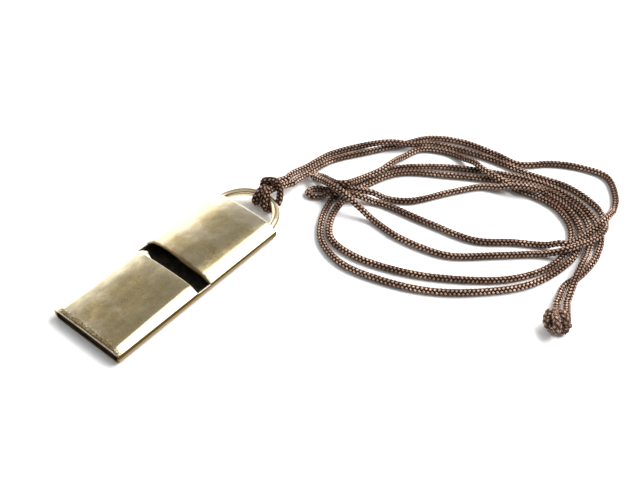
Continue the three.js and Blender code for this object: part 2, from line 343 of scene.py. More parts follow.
# Sizes shared by the pieces, in millimetres


@dataclass(frozen=True)
class WhistleSizes:
    """The whistle's own sizes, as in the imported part."""

    length: float = 47.0
    width: float = 20.0
    sheet: float = 0.6
    corner: float = 1.4
    rim_mouth: float = 2.4
    rim_slot: float = 2.3
    rim_rear: float = 2.1
    cover_inset: float = 0.2
    windway: float = 22.3
    slot: float = 3.6
    fit: float = 0.15
    wire: float = 2.0
    ring_sideways: float = -0.3
    ring_inside: float = 1.25
    ring_height: float = 2.15
    ring_tilt: float = math.radians(5)
    foot_angle: float = math.radians(100)

    @property
    def ring_radius(self) -> float:
        """Returns the radius of the ring's centre line."""
        return self.width / 2 - self.sheet - self.fit - self.wire / 2 - abs(self.ring_sideways)

    @property
    def ring_end(self) -> float:
        """Returns the ring's far end along X, from the origin."""
        reach = (self.ring_radius - self.ring_inside) * math.cos(self.ring_tilt) + self.wire / 2
        return (self.length + reach) / 2

    @property
    def mouth(self) -> float:
        """Returns the mouth's place along X."""
        return -self.ring_end

    @property
    def rear(self) -> float:
        """Returns the rear face's place along X."""
        return self.mouth + self.length

    @property
    def slot_front(self) -> float:
        """Returns where the mouth cover ends."""
        return self.mouth + self.windway

    @property
    def slot_rear(self) -> float:
        """Returns where the chamber cover starts."""
        return self.slot_front + self.slot

    def rim(self, x: float) -> float:
        """Returns the height of the seam at a place along X."""
        places = (self.mouth, self.slot_front, self.slot_rear)
        return float(np.interp(x, places, (self.rim_mouth, self.rim_slot, self.rim_rear)))


SIZES = WhistleSizes()


# The cord


@dataclass(frozen=True)
class Route:
    """A cord's line, in millimetres from the ring's far end.

    A point with no height lies on the table.
    """

    name: str
    points: tuple[tuple[float, ...], ...]
    table: float = 0.75

    def line(self) -> Points:
        """Returns the smooth line in the part's frame, in metres."""
        points = np.array([(*point, self.table)[:3] for point in self.points]) / PER_METRE
        return centripetal(points + (SIZES.ring_end * MM, 0, 0))


# In over the wire, down round it, up and across its own two ends, down and out again
HITCH = Route(
    "hitch",
    (
        (6.7, -0.6, 3.2), (4.7, 0, 3.5), (2.6, 0.5, 3.75), (0.7, 0.35, 4), (-1, 0.35, 4.6),
        (-2.4, 0.35, 4), (-3, 0.6, 2.7), (-2.6, 1, 1.3), (-1.2, 1.5, 0.8), (0.4, 2.1, 1.4),
        (1, 2, 3), (1.3, 1.6, 4.9), (1.6, 0.5, 5.5), (2.2, -0.6, 5.6), (2.2, -1.9, 5.3),
        (1.7, -2.9, 4.4), (1.1, -3.4, 3.2), (0.3, -3.6, 2), (-0.7, -3.3, 1), (-1.9, -2.9, 0.85),
        (-2.9, -2.4, 1.5), (-3.2, -2.1, 2.7), (-2.5, -1.8, 4), (-1.2, -1.45, 4.6), (0.6, -1.2, 4.2),
        (2.6, -1.2, 3.7), (4.7, -1.6, 3), (6.7, -2.2, 2.6),
    ),
)

# A lap of the bundle, both leaves, then two more laps
STRAND_A = Route(
    "strand_small_leaf",
    (
        (7, -0.53, 3.15), (9.1, -0.1, 2.8), (14.1, -0.4, 1.8), (22.5, -0.9), (29.3, -4.3),
        (32.1, -7.5, 1.7), (33.7, -10, 2.4), (35.5, -12.2, 2.3), (37.7, -14.6, 1.6), (41.6, -17.2),
        (43.9, -22.2), (46.5, -32.3), (47.5, -43.1), (49.3, -52.4), (47.3, -61), (44.3, -64.6, 0.8),
        (42.1, -65.9, 1.6), (39.9, -66.6, 2.4), (36.7, -66.5, 2.5), (32.9, -65.2, 2.4),
        (28.3, -62.8, 2.4), (26.3, -60, 1.1), (24.2, -57.2), (19.5, -52.1), (12.3, -43.7),
        (10.5, -38.1), (9.7, -30.4), (10.5, -23, 1), (10.2, -18, 3.4), (10.5, -12.8, 4.4),
        (11.6, -8, 3.2), (12.1, -5.4, 2.4), (12.5, -3.9, 1.9), (13.5, -3.5, 1.4), (14.2, -4.6, 1.3),
        (13.9, -6.8, 2), (13, -9.3, 3), (12.6, -11.6, 3.95), (13.5, -13, 4.1), (15.3, -13.2, 3.4),
        (19.6, -13.8, 2.35), (24, -15.3, 2.35), (27.8, -15.7, 2.35), (30.2, -15.3, 1.6),
        (33.1, -15.4), (38.9, -17.3), (42.1, -23.4), (41.9, -27.6, 1.2), (41.1, -31, 2.3),
        (40.2, -34, 2.5), (39.8, -36.8, 2.5), (39.9, -39.4, 2.2), (40.7, -41.8, 0.85), (41, -44.2),
        (41.6, -47.9), (41.2, -53.8), (37.2, -59.8), (30.6, -62.7), (23.4, -62.4), (14.7, -57.6),
        (6.5, -47.6), (1.4, -37.9), (-1.4, -26.8), (-0.2, -19.7), (5.5, -15.4), (11.8, -14),
        (18.6, -14.7), (28, -18.4), (35, -28.2), (41, -38.6), (44.5, -46.2), (44.8, -53.3),
        (42.5, -60.1), (37.2, -64.9), (31.6, -66.9, 1.1), (28.3, -67.7, 2.1), (25.6, -68.3, 2.4),
        (22.6, -68.9, 2.3), (15.6, -70.8, 1.95),
    ),
)

# The outer loop, both leaves, then two more laps
STRAND_B = Route(
    "strand_outer_loop",
    (
        (7, -2.28, 2.55), (9.1, -2, 2.2), (12.4, -2, 1.7), (20.7, -2.5), (29.9, -7.8),
        (37.3, -12.4), (43.6, -16.3), (47.4, -22.9), (48.8, -32.3), (48.9, -38.3), (50.7, -41.1),
        (54.3, -44.7), (57.7, -51), (58.6, -57.6), (53.4, -62.7), (48.7, -64.6, 1),
        (45.7, -65.2, 2.4), (42.7, -65.4, 3.3), (39.7, -65.1, 3.2), (36.5, -64.2, 2.5),
        (30.7, -62.5, 2.4), (29.7, -60.8, 2.2), (28.8, -58.8, 1.1), (27.5, -56.5), (25.1, -52.5),
        (19.9, -45.3), (17.9, -34.3), (16.5, -22.5), (15.6, -19.6), (13.9, -16.9, 2),
        (12.4, -14.2, 2.4), (10.8, -12.2, 2.45), (10.1, -10.6, 2), (9.3, -9.2, 0.8), (8.5, -8.2),
        (7.9, -7.2), (8.2, -5.9), (9.6, -5.8), (10.8, -6.8), (11.6, -8.7, 0.95), (12.1, -10.3, 1.8),
        (12.7, -11.8, 2.45), (14, -13.9, 2.45), (15.3, -16.4, 2.5), (16.6, -18.9, 2.3),
        (18.4, -21.5), (21.3, -26.2), (29.8, -31.7), (36.5, -36.6, 0.8), (38.1, -39.7, 1.2),
        (39.2, -41.9, 2), (40.3, -44, 2.5), (41.6, -46.4, 2.5), (42.9, -48.9, 1.75),
        (43.4, -50.8, 0.8), (43.1, -53.3), (41.8, -57.1), (38, -61.8), (32.6, -64.4), (26.2, -64.7),
        (16.1, -61.8), (7.4, -54.7), (0.8, -46.3), (-3.4, -36.1), (-4.9, -26.2), (-2.1, -18.6),
        (4.2, -13.8), (11.2, -11.7), (18.8, -12.6), (26.4, -15.4), (29.5, -17.3), (36.1, -24.6),
        (42.6, -36.2), (45.7, -44.1), (46.6, -51.8), (44.8, -59.9), (40.1, -65.8), (33.7, -68.5),
        (28.4, -69), (24.2, -68.6), (20.2, -67.8, 0.9), (14.2, -69.2, 1.7),
    ),
)

# The two ends in the overhand knot
END_KNOT_A = Route(
    "end_knot_first",
    (
        (15.3, -70.95, 1.97), (13, -72, 2.6), (11.35, -72.9, 3), (10.6, -73.5, 2.4),
        (9.8, -73.65, 1.3), (8.6, -73.05, 0.85), (7.8, -71.85, 1), (7.7, -70.65, 1.9),
        (8.6, -69.9, 2.6), (9.3, -69.8, 3.3), (9.95, -70.35, 3.5), (10.2, -71.05, 2.8),
        (10, -71.6, 1.8), (9.6, -72.5, 1.3), (9.2, -73.6, 1.2), (8.8, -74.5, 1.3),
    ),
)
END_KNOT_B = Route(
    "end_knot_second",
    (
        (13.9, -69.32, 1.75), (11.8, -70.4, 2.2), (9.2, -71.35, 3.6), (7.6, -72.4, 4.1),
        (6.95, -73.1, 3.5), (6.95, -73, 2.3), (8.15, -71.7, 1.2), (9.6, -70.9, 1.2),
        (10.55, -71, 2), (10.85, -71.55, 3.2), (10.15, -72.7, 3.9), (9.75, -73.5, 3.3),
        (10, -73.85, 2.1), (10.15, -74.4, 1.4),
    ),
)


@dataclass(frozen=True)
class BraidFinish:
    """The braid: painted shade in the crossings, a painted tan highlight and a real gloss on the
    crowns, and less of that highlight in the knots.
    """

    # dark: painted shade where a thread passes under the others
    dark: Colour = (0.009, 0.003, 0.002, 1)
    warm: Colour = (0.050, 0.017, 0.007, 1)
    # light: a painted highlight, the key light's glint on the threads' crowns
    light: Colour = (0.95, 0.70, 0.55, 1)
    handled: Colour = (0.15, 0.088, 0.06, 1)
    # gap and gap_grain: nearly black, painted shade for the inside of the braid seen between the
    # threads
    gap: Colour = (0.008, 0.005, 0.004, 1)
    gap_grain: Colour = (0.03, 0.018, 0.013, 1)
    drift: Noise = Noise(0.09)
    fine: Noise = Noise(2.0, 3.0, 0.6)
    fibres: Noise = Noise(9.0, 2.0, 0.7)
    grain: Noise = Noise(6.0)
    warm_crown: Range = (-0.3, 0.5)
    lit_crown: Range = (0.5, 1.0)
    shiny_crown: Range = (0.6, 1.0)
    drift_range: Range = (0.38, 0.62)
    fine_range: Range = (0.28, 0.62, 0.3, 1.0)
    # hitch and knot: where less of the painted crown highlight is put, so they read darker
    hitch: Mark = Mark(("out", 5.0, 1.0), ("side", -8.0, -5.0))
    knot: Mark = Mark(("out", 14.0, 12.0), ("side", -67.0, -69.5))
    steady: float = 0.4
    drifting: float = 0.7
    lit: float = 0.93
    knot_dims: float = 0.45
    knot_handled: float = 0.75
    light_share: float = 0.72
    thread_share: float = 0.05
    most_light: float = 0.95
    roughness: float = 0.7
    fibre_rough: float = 0.2
    fibre_height: float = 0.00005
    specular: float = 0.04
    coat: float = 0.6
    coat_rough: float = 0.35
    gap_rough: float = 0.85

    def threads(self) -> Material:
        """Builds the threads' material.

        Returns:
            The material, which reads the braid's own crown and thread values.
        """
        g = MaterialGraph("braid_threads")
        place = g.millimetres()
        crown, thread = (
            g.node("ShaderNodeAttribute", {"attribute_name": name}, out="Fac")
            for name in ("crown", "thread")
        )
        at = {"out": g.axis(place, "X") - SIZES.ring_end, "side": g.axis(place, "Y")}
        hitch, knot = self.hitch.mask(at), self.knot.mask(at)
        drift = self.steady + self.drifting * g.noise(place, self.drift).ramp(*self.drift_range)
        # lit: how much painted highlight each point gets, most on the crowns, varied by noise
        lit = crown.ramp(*self.lit_crown) * drift * g.noise(place, self.fine).ramp(*self.fine_range)
        lit = lit * (self.lit - self.knot_dims * hitch.most(knot))
        # painted shade: threads are near black where they pass under the others, and warm brown on
        # the crowns
        base = g.mix(crown.ramp(*self.warm_crown), self.dark, self.warm)
        base = g.mix(knot * self.knot_handled, base, self.handled)
        share = (lit * (self.light_share + self.thread_share * thread)).least(self.most_light)
        fibres = g.noise(place, self.fibres)
        return g.surface(
            {
                "Base Color": g.mix(share, base, self.light),
                "Roughness": self.roughness + self.fibre_rough * fibres,
                "Specular IOR Level": self.specular,
                "Coat Weight": crown.ramp(*self.shiny_crown) * self.coat,
                "Coat Roughness": self.coat_rough,
                "Normal": g.bump(fibres, self.fibre_height, 0.5),
            }
        )

    def core(self) -> Material:
        """Builds the material between the threads.

        Returns:
            A nearly black material with a soft grain, painted shade for the inside of the braid.
        """
        g = MaterialGraph("braid_core_shade")
        grain = g.noise(g.millimetres(), self.grain)
        return g.surface(
            {
                "Base Color": g.mix(grain, self.gap, self.gap_grain),
                "Roughness": self.gap_rough + 0.1 * grain,
                "Normal": g.bump(grain, self.fibre_height, 1.0),
            }
        )


class BraidSocket(Enum):
    """The named inputs of the braid's node tree."""

    LEAD = "Lead"
    HALF_WIDTH = "Thread Half Width"
    HALF_THICKNESS = "Thread Half Thickness"
    COUNT = "Thread Count"
    THREADS = "Thread Material"
    CORE = "Core Material"


@dataclass
class BraidTree:
    """The Geometry Nodes tree that braids threads along a line."""

    name: str = "braid_along_line"
    profile_sides: int = 5
    core_sides: int = 8
    core_step: float = 0.6
    core_inset: float = 2.4

    def build(self) -> bpy.types.NodeTree:
        """Builds the tree.

        Returns:
            The tree, with one named input for each size and material.
        """
        tree = bpy.data.node_groups.new(self.name, "GeometryNodeTree")
        kinds = ["Float", "Float", "Float", "Int", "Material", "Material"]
        names = [socket.value for socket in BraidSocket]
        for name, kind in (("Geometry", "Geometry"), *zip(names, kinds)):
            tree.interface.new_socket(name, in_out="INPUT", socket_type=f"NodeSocket{kind}")
        tree.interface.new_socket("Geometry", in_out="OUTPUT", socket_type="NodeSocketGeometry")
        self.graph = Graph(tree)
        given = self.graph.node("NodeGroupInput")
        self.given = {socket: given[socket.value] for socket in BraidSocket}
        self.guide = self.graph.node("GeometryNodeMeshToCurve", None, {"Mesh": given})
        parts = {"Geometry": [self.threads(), self.core()]}
        joined = self.graph.node("GeometryNodeJoinGeometry", None, parts)
        real = self.graph.node("GeometryNodeRealizeInstances", None, {"Geometry": joined})
        self.graph.end("NodeGroupOutput", "Geometry", real)
        return tree

    def carried(self, name: str, kind: str = "FLOAT") -> Sock:
        """Returns a value that the guide's points carry."""
        node = "GeometryNodeInputNamedAttribute"
        return self.graph.node(node, {"data_type": kind}, {"Name": name}, "Attribute")

    def threads(self) -> Sock:
        """Builds the threads: half of them wind each way round, over two and under two.

        Returns:
            The threads' mesh.
        """
        g, count = self.graph, self.given[BraidSocket.COUNT]
        thick = self.given[BraidSocket.HALF_THICKNESS]
        spline = {"Geometry": self.guide, "Amount": count}
        copies = g.node("GeometryNodeDuplicateElements", {"domain": "SPLINE"}, spline)
        index = copies["Duplicate Index"]
        odd = index.modulo(2.0)
        pair = (index / 2.0).floor()
        sign = 1.0 - odd * 2.0
        wound = self.carried("along") / self.given[BraidSocket.LEAD] * TURN * sign
        angle = wound + (pair + odd * 0.5) / (count / 2.0) * TURN
        crown = (angle * (count / 4.0)).cosine() * sign
        lift = (crown - 2.0) * thick
        around = angle + self.carried("turn")
        parts = []
        for way, size, wave in (("up", "high", around.cosine()), ("side", "wide", around.sine())):
            unit = g.vector("SCALE", {0: self.carried(way, "FLOAT_VECTOR"), "Scale": wave})
            reach = g.vector("SCALE", {0: unit, "Scale": self.carried(size) + lift})
            parts.append((unit, reach))
        outward, offset = (g.vector("ADD", dict(enumerate(pair_of))) for pair_of in zip(*parts))
        keeper = g.tree.nodes.new("GeometryNodeCaptureAttribute")
        keeper.domain = "POINT"
        for name, source in (("outward", outward), ("crown", crown), ("thread", pair)):
            keeper.capture_items.new("VECTOR" if source is outward else "FLOAT", name)
            g.link(source, keeper, name)
        g.link(copies, keeper, "Geometry")
        moving = {"Geometry": Sock(g, keeper.outputs["Geometry"]), "Offset": offset}
        moved = g.node("GeometryNodeSetPosition", None, moving)
        turning = {"Curve": moved, "Normal": Sock(g, keeper.outputs["outward"])}
        flow = g.node("GeometryNodeSetCurveNormal", {"mode": "FREE"}, turning)
        for name in ("crown", "thread"):
            settings = {"data_type": "FLOAT", "domain": "POINT"}
            inputs = {"Geometry": flow, "Name": name, "Value": Sock(g, keeper.outputs[name])}
            flow = g.node("GeometryNodeStoreNamedAttribute", settings, inputs)
        sizes = {"X": thick, "Y": self.given[BraidSocket.HALF_WIDTH], "Z": 1.0}
        scale = g.node("ShaderNodeCombineXYZ", None, sizes)
        oval = {"Geometry": self.circle(self.profile_sides), "Scale": scale}
        return self.swept(flow, g.node("GeometryNodeTransform", None, oval), BraidSocket.THREADS)

    def core(self) -> Sock:
        """Builds the dark tube that fills the braid, whose nearly black material paints the shade
        inside it.

        Returns:
            The core's mesh.
        """
        step = {"Curve": self.guide, "Length": self.core_step * MM}
        sparse = self.graph.node("GeometryNodeResampleCurve", {"mode": "LENGTH"}, step)
        size = self.carried("high") - self.given[BraidSocket.HALF_THICKNESS] * self.core_inset
        return self.swept(sparse, self.circle(self.core_sides), BraidSocket.CORE, size)

    def circle(self, sides: int) -> Sock:
        """Returns a profile of radius one."""
        inputs = {"Resolution": sides, "Radius": 1.0}
        return self.graph.node("GeometryNodeCurvePrimitiveCircle", {"mode": "RADIUS"}, inputs)

    def swept(self, line: Sock, profile: Sock, kind: BraidSocket, scale: Sock | float = 1) -> Sock:
        """Sweeps a profile along a line.

        Args:
            line: the curves to follow.
            profile: the closed profile.
            kind: which material input it takes.
            scale: how large the profile is at each point.

        Returns:
            The smooth mesh with its material.
        """
        g = self.graph
        inputs = {"Curve": line, "Profile Curve": profile, "Fill Caps": True, "Scale": scale}
        mesh = g.node("GeometryNodeCurveToMesh", None, inputs)
        inputs = {"Geometry": mesh, "Shade Smooth": True}
        smooth = g.node("GeometryNodeSetShadeSmooth", None, inputs)
        inputs = {"Geometry": smooth, "Material": self.given[kind]}
        return g.node("GeometryNodeSetMaterial", None, inputs)


@dataclass
class CordFrame:
    """The cord's whole line, and at each of its points the directions and sizes of its section.

    The braid turns so that its column of stitches at that angle lies towards one direction.
    """

    step: float = 0.3
    wide: float = 1.8
    high: float = 1.6
    knot: float = 1.84
    towards: Triple = (-0.55, -0.46, 0.70)
    column: float = math.pi / 6
    blend: float = 2.5

    def __post_init__(self) -> None:
        """Joins the routes into one line and works out its sections."""
        ends = [END_KNOT_A.line()[::-1], STRAND_A.line()[::-1]]
        parts = [*ends, HITCH.line(), STRAND_B.line(), END_KNOT_B.line()]
        ended = range(1, len(parts) + 1)
        lengths = [float(distances(np.concatenate(parts[:count]))[-1]) for count in ended]
        self.points = evenly(np.concatenate(parts), self.step * MM)
        self.along = np.linspace(0, lengths[-1], len(self.points))
        self.joins = lengths[:-1]
        self.places = [int(np.searchsorted(self.along, join)) for join in self.joins]
        self.tangent = units(np.gradient(self.points, axis=0))
        self.up = self.ups()
        self.side = np.cross(self.tangent, self.up)
        self.wides, self.highs = (self.sizes(size * MM) for size in (self.wide / 2, self.high / 2))
        self.turn = self.turns()

    def upright(self, k: int) -> Points:
        """Returns the direction across the line at a point that is nearest to straight up."""
        return units(np.array([0.0, 0.0, 1.0]) - self.tangent[k, 2] * self.tangent[k])

    def ups(self) -> Points:
        """Works out the upward direction: straight up on the table, carried along in the knots.

        Returns:
            One direction for each point.
        """
        first, second, third, fourth = self.places
        ups = np.zeros_like(self.points)
        for k in [*range(first, second + 1), *range(third, fourth + 1)]:
            ups[k] = self.upright(k)
        knots = (range(first - 1, -1, -1), range(fourth + 1, len(ups)), range(second + 1, third))
        for order in knots:
            for k in order:
                last = ups[k - order.step]
                ups[k] = units(last - (last @ self.tangent[k]) * self.tangent[k])
        goal, end = ups[third], third - 1
        across = float(np.cross(ups[end], goal) @ self.tangent[end])
        gap = math.atan2(across, float(ups[end] @ goal))
        for k in range(second + 1, third):
            turn = gap * (k - second) / (third - second)
            side = np.cross(self.tangent[k], ups[k])
            ups[k] = ups[k] * math.cos(turn) + side * math.sin(turn)
        return ups

    def sizes(self, size: float) -> Points:
        """Works out a half size at each point.

        Args:
            size: the oval's half size on the table.

        Returns:
            That size on the table, and the round cord's in the knots.
        """
        first, second, third, fourth = self.joins
        far = np.minimum.reduce([np.abs(self.along - join) for join in self.joins])
        strand_a = (self.along > first) & (self.along < second)
        strand_b = (self.along > third) & (self.along < fourth)
        share = np.where(strand_a | strand_b, np.clip(far / (self.blend * MM), 0, 1), 0.0)
        return size * share + self.knot / 2 * MM * (1 - share)

    def turns(self) -> Points:
        """Works out the braid's own turn, so that two columns of stitches lie towards one side.

        Returns:
            The angle at each point.
        """
        towards = np.array(self.towards)
        seen = np.unwrap(np.arctan2(self.side @ towards, self.up @ towards))
        first, second, third, fourth = self.places
        seen[:first], seen[fourth:] = seen[first], seen[fourth]
        seen[second:third] = np.linspace(seen[second], seen[third], third - second)
        return seen - self.column


@dataclass
class BraidedCord:
    """The one braided cord: two strands, the hitch round the ring and the knot at the ends."""

    diameter: float = 1.5
    lead: float = 5.5
    threads: int = 12
    thread_half_width: float = 0.24
    thread_half_thickness: float = 0.17
    hole_sides: int = 12
    finish: BraidFinish = BraidFinish()
    frame: CordFrame = field(default_factory=CordFrame)

    def guide(self) -> Object:
        """Builds the line that the braid follows.

        Returns:
            A mesh of edges, with its sections in attributes.
        """
        line = self.frame
        mesh = bpy.data.meshes.new("cord_line")
        edges = [(k, k + 1) for k in range(len(line.points) - 1)]
        mesh.from_pydata(line.points.tolist(), edges, [])
        for name, values in (("up", line.up), ("side", line.side)):
            made = mesh.attributes.new(name, "FLOAT_VECTOR", "POINT")
            made.data.foreach_set("vector", values.ravel())
        numbers = {"along": line.along, "turn": line.turn, "wide": line.wides, "high": line.highs}
        for name, values in numbers.items():
            mesh.attributes.new(name, "FLOAT", "POINT").data.foreach_set("value", values)
        return placed("cord_line", mesh)

    def braid(self) -> bpy.types.Mesh:
        """Braids the whole cord.

        Returns:
            The braid as one plain mesh.
        """
        tree = BraidTree().build()
        guide = self.guide()
        modifier = guide.modifiers.new("braid", "NODES")
        modifier.node_group = tree
        given = {
            BraidSocket.LEAD: self.lead * MM,
            BraidSocket.COUNT: self.threads,
            BraidSocket.HALF_WIDTH: self.thread_half_width * MM,
            BraidSocket.HALF_THICKNESS: self.thread_half_thickness * MM,
            BraidSocket.THREADS: self.finish.threads(),
            BraidSocket.CORE: self.finish.core(),
        }
        items = [item for item in tree.interface.items_tree if item.in_out == "INPUT"]
        by_name = {item.name: item.identifier for item in items}
        for key, value in given.items():
            modifier[by_name[key.value]] = value
        mesh = evaluated(guide)
        guide.modifiers.remove(modifier)
        bpy.data.objects.remove(guide)
        return mesh

    def cut(self, whole: bpy.types.Mesh, names: list[str]) -> list[Object]:
        """Cuts the braid at the joins and closes its ends.

        Args:
            whole: the whole braid.
            names: a name for each of the five lengths; lengths of one name stay together.

        Returns:
            The pieces, one for each name.
        """
        along = np.empty(len(whole.vertices))
        whole.attributes["along"].data.foreach_get("value", along)
        firsts = np.array([polygon.vertices[0] for polygon in whole.polygons])
        owners = np.array(names)[np.searchsorted(self.frame.joins, along[firsts])]
        pieces = []
        for name in dict.fromkeys(names):
            part = bmesh.new()
            part.from_mesh(whole)
            part.faces.ensure_lookup_table()
            gone = [part.faces[k] for k in np.nonzero(owners != name)[0]]
            bmesh.ops.delete(part, geom=gone, context="FACES")
            open_edges = [edge for edge in part.edges if edge.is_boundary]
            bmesh.ops.holes_fill(part, edges=open_edges, sides=self.hole_sides)
            mesh = bpy.data.meshes.new(name)
            part.to_mesh(mesh)
            part.free()
            for material in whole.materials:
                mesh.materials.append(material)
            pieces.append(placed(name, mesh))
        bpy.data.meshes.remove(whole)
        return pieces

    def build(self) -> list[Object]:
        """Returns:
            The pieces.
        """
        names = ["end_knot_braid", STRAND_A.name, "hitch_braid", STRAND_B.name, "end_knot_braid"]
        knot, first, hitch, second = self.cut(self.braid(), names)
        dress(hitch, "braided_cord", "hitch_knot")
        dress(knot, "braided_cord", "end_knot")
        strands = ((STRAND_A, first, "cord_strand_a"), (STRAND_B, second, "cord_strand_b"))
        for route, piece, node in strands:
            line = route.line()
            dress(piece, "braided_cord", node)
        return [hitch, knot, first, second]


# Pieces


def placed(name: str, mesh: bpy.types.Mesh) -> Object:
    """Puts a mesh in the scene at the origin.

    Args:
        name: the object's name.
        mesh: its mesh.

    Returns:
        The object.
    """
    made = bpy.data.objects.new(name, mesh)
    bpy.context.scene.collection.objects.link(made)
    return made


def dress(piece: Object, slot: str, *nodes: str) -> None:
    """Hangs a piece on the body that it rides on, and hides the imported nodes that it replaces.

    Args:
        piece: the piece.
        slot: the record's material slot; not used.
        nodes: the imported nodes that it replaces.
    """
    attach(piece, BODY)
    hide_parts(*nodes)


def evaluated(piece: Object) -> bpy.types.Mesh:
    """Returns a piece as one plain mesh with its modifiers in it."""
    graph = bpy.context.evaluated_depsgraph_get()
    return bpy.data.meshes.new_from_object(piece.evaluated_get(graph))


@dataclass
class Loft:
    """A closed solid through outlines that lie across the whistle.

    Its faces between the points numbered in inside have the inner material.
    """

    name: str
    outlines: list[Points]
    outer: Material
    inner: Material | None = None
    inside: range = range(0)
    edge: float = 0.07
    segments: int = 2
    sharp: float = math.radians(38)

    def build(self) -> Object:
        """Builds the solid, with its edges eased.

        Returns:
            The piece, in metres.
        """
        count, rings = len(self.outlines[0]), len(self.outlines)
        faces = [tuple(range(count - 1, -1, -1)), tuple(range((rings - 1) * count, rings * count))]
        kinds = [0, 0]
        for here in range(0, (rings - 1) * count, count):
            for k in range(count):
                there, after = here + count, (k + 1) % count
                faces.append((here + k, here + after, there + after, there + k))
                kinds.append(1 if k in self.inside else 0)
        mesh = bpy.data.meshes.new(self.name)
        mesh.from_pydata((np.concatenate(self.outlines) * MM).tolist(), [], faces)
        mesh.polygons.foreach_set("material_index", kinds)
        mesh.materials.append(self.outer)
        mesh.materials.append(self.inner or self.outer)
        mesh.shade_smooth()
        piece = placed(self.name, mesh)
        bevel = piece.modifiers.new("eased_edges", "BEVEL")
        bevel.width = self.edge * MM
        bevel.segments = self.segments
        bevel.limit_method = "ANGLE"
        bevel.angle_limit = self.sharp
        bevel.use_clamp_overlap = True
        bevel.harden_normals = True
        plain = evaluated(piece)
        piece.modifiers.clear()
        piece.data = plain
        return piece


def spline(shares: tuple[tuple[float, float], ...], count: int, rounds: int = 6) -> Points:
    """Draws a smooth outline through shares.

    Args:
        shares: pairs of shares across and up.
        count: how many samples it has, less one.
        rounds: how often its knees are softened.

    Returns:
        The sampled pairs.
    """
    points = np.array(shares)
    last = len(points) - 1
    samples = []
    for place in np.linspace(0, last, count + 1):
        k = min(int(place), last - 1)
        p0, p1, p2, p3 = (points[min(max(k + shift, 0), last)] for shift in (-1, 0, 1, 2))
        samples.append(cubic(p1, p2, (p2 - p0) / 2, (p3 - p1) / 2, place - k))
    line = np.array(samples)
    for _ in range(rounds):
        line[1:-1] = (line[:-2] + 2 * line[1:-1] + line[2:]) / 4
    return line


def tray_corner(inset: float, top: float, radius: float, steps: int) -> Points:
    """Draws the right side of an outline in the tray, down and round its bottom corner.

    Args:
        inset: how far its side and bottom lie inside the tray's, but never above the sheet.
        top: the height that it starts at.
        radius: the corner's radius.
        steps: how many pieces the corner has.

    Returns:
        Pairs across and up, from the top to the bottom.
    """
    side, bottom = SIZES.width / 2 - inset, min(inset, SIZES.sheet)
    angle = np.linspace(0, math.pi / 2, steps + 1)
    across = side - radius + radius * np.cos(angle)
    up = bottom + radius - radius * np.sin(angle)
    return np.concatenate([[(side, top)], np.column_stack([across, up])])


def both_sides(half: Points) -> Points:
    """Mirrors the half from the middle to the right, and returns it from left to right."""
    return np.concatenate([(half * (-1, 1))[:0:-1], half])


def across_at(x: float, outline: Points) -> Points:
    """Gives an outline its place along the whistle."""
    return np.column_stack([np.full(len(outline), x), outline])


@dataclass(frozen=True)
class CoverForm:
    """A cover's ends, and its crown's height and outline at each of them.

    An outline is pairs of shares of the half width and of the height over the rim.
    """

    name: str
    ends: tuple[float, float]
    crowns: tuple[float, float]
    outlines: tuple[tuple[tuple[float, float], ...], ...]


LIP = (
    (0, 1), (0.25, 0.995), (0.5, 0.985), (0.68, 0.97), (0.78, 0.95),
    (0.815, 0.92), (0.85, 0.82), (0.9, 0.57), (0.95, 0.295), (1, 0),
)
SHOULDER = (
    (0, 1), (0.22, 0.985), (0.42, 0.945), (0.6, 0.88), (0.74, 0.8),
    (0.79, 0.755), (0.84, 0.62), (0.9, 0.41), (0.95, 0.215), (1, 0),
)
DOME = (
    (0, 1), (0.2, 0.985), (0.4, 0.94), (0.58, 0.86), (0.72, 0.765),
    (0.78, 0.71), (0.83, 0.595), (0.89, 0.405), (0.95, 0.195), (1, 0),
)
MOUTH, FRONT, BACK, REAR = SIZES.mouth, SIZES.slot_front, SIZES.slot_rear, SIZES.rear
MOUTH_COVER = CoverForm("mouth_shell", (MOUTH, FRONT), (3.15, 3.8), (LIP, SHOULDER))
CHAMBER_COVER = CoverForm("chamber_shell", (BACK, REAR), (4.65, 4.3), (DOME, DOME))


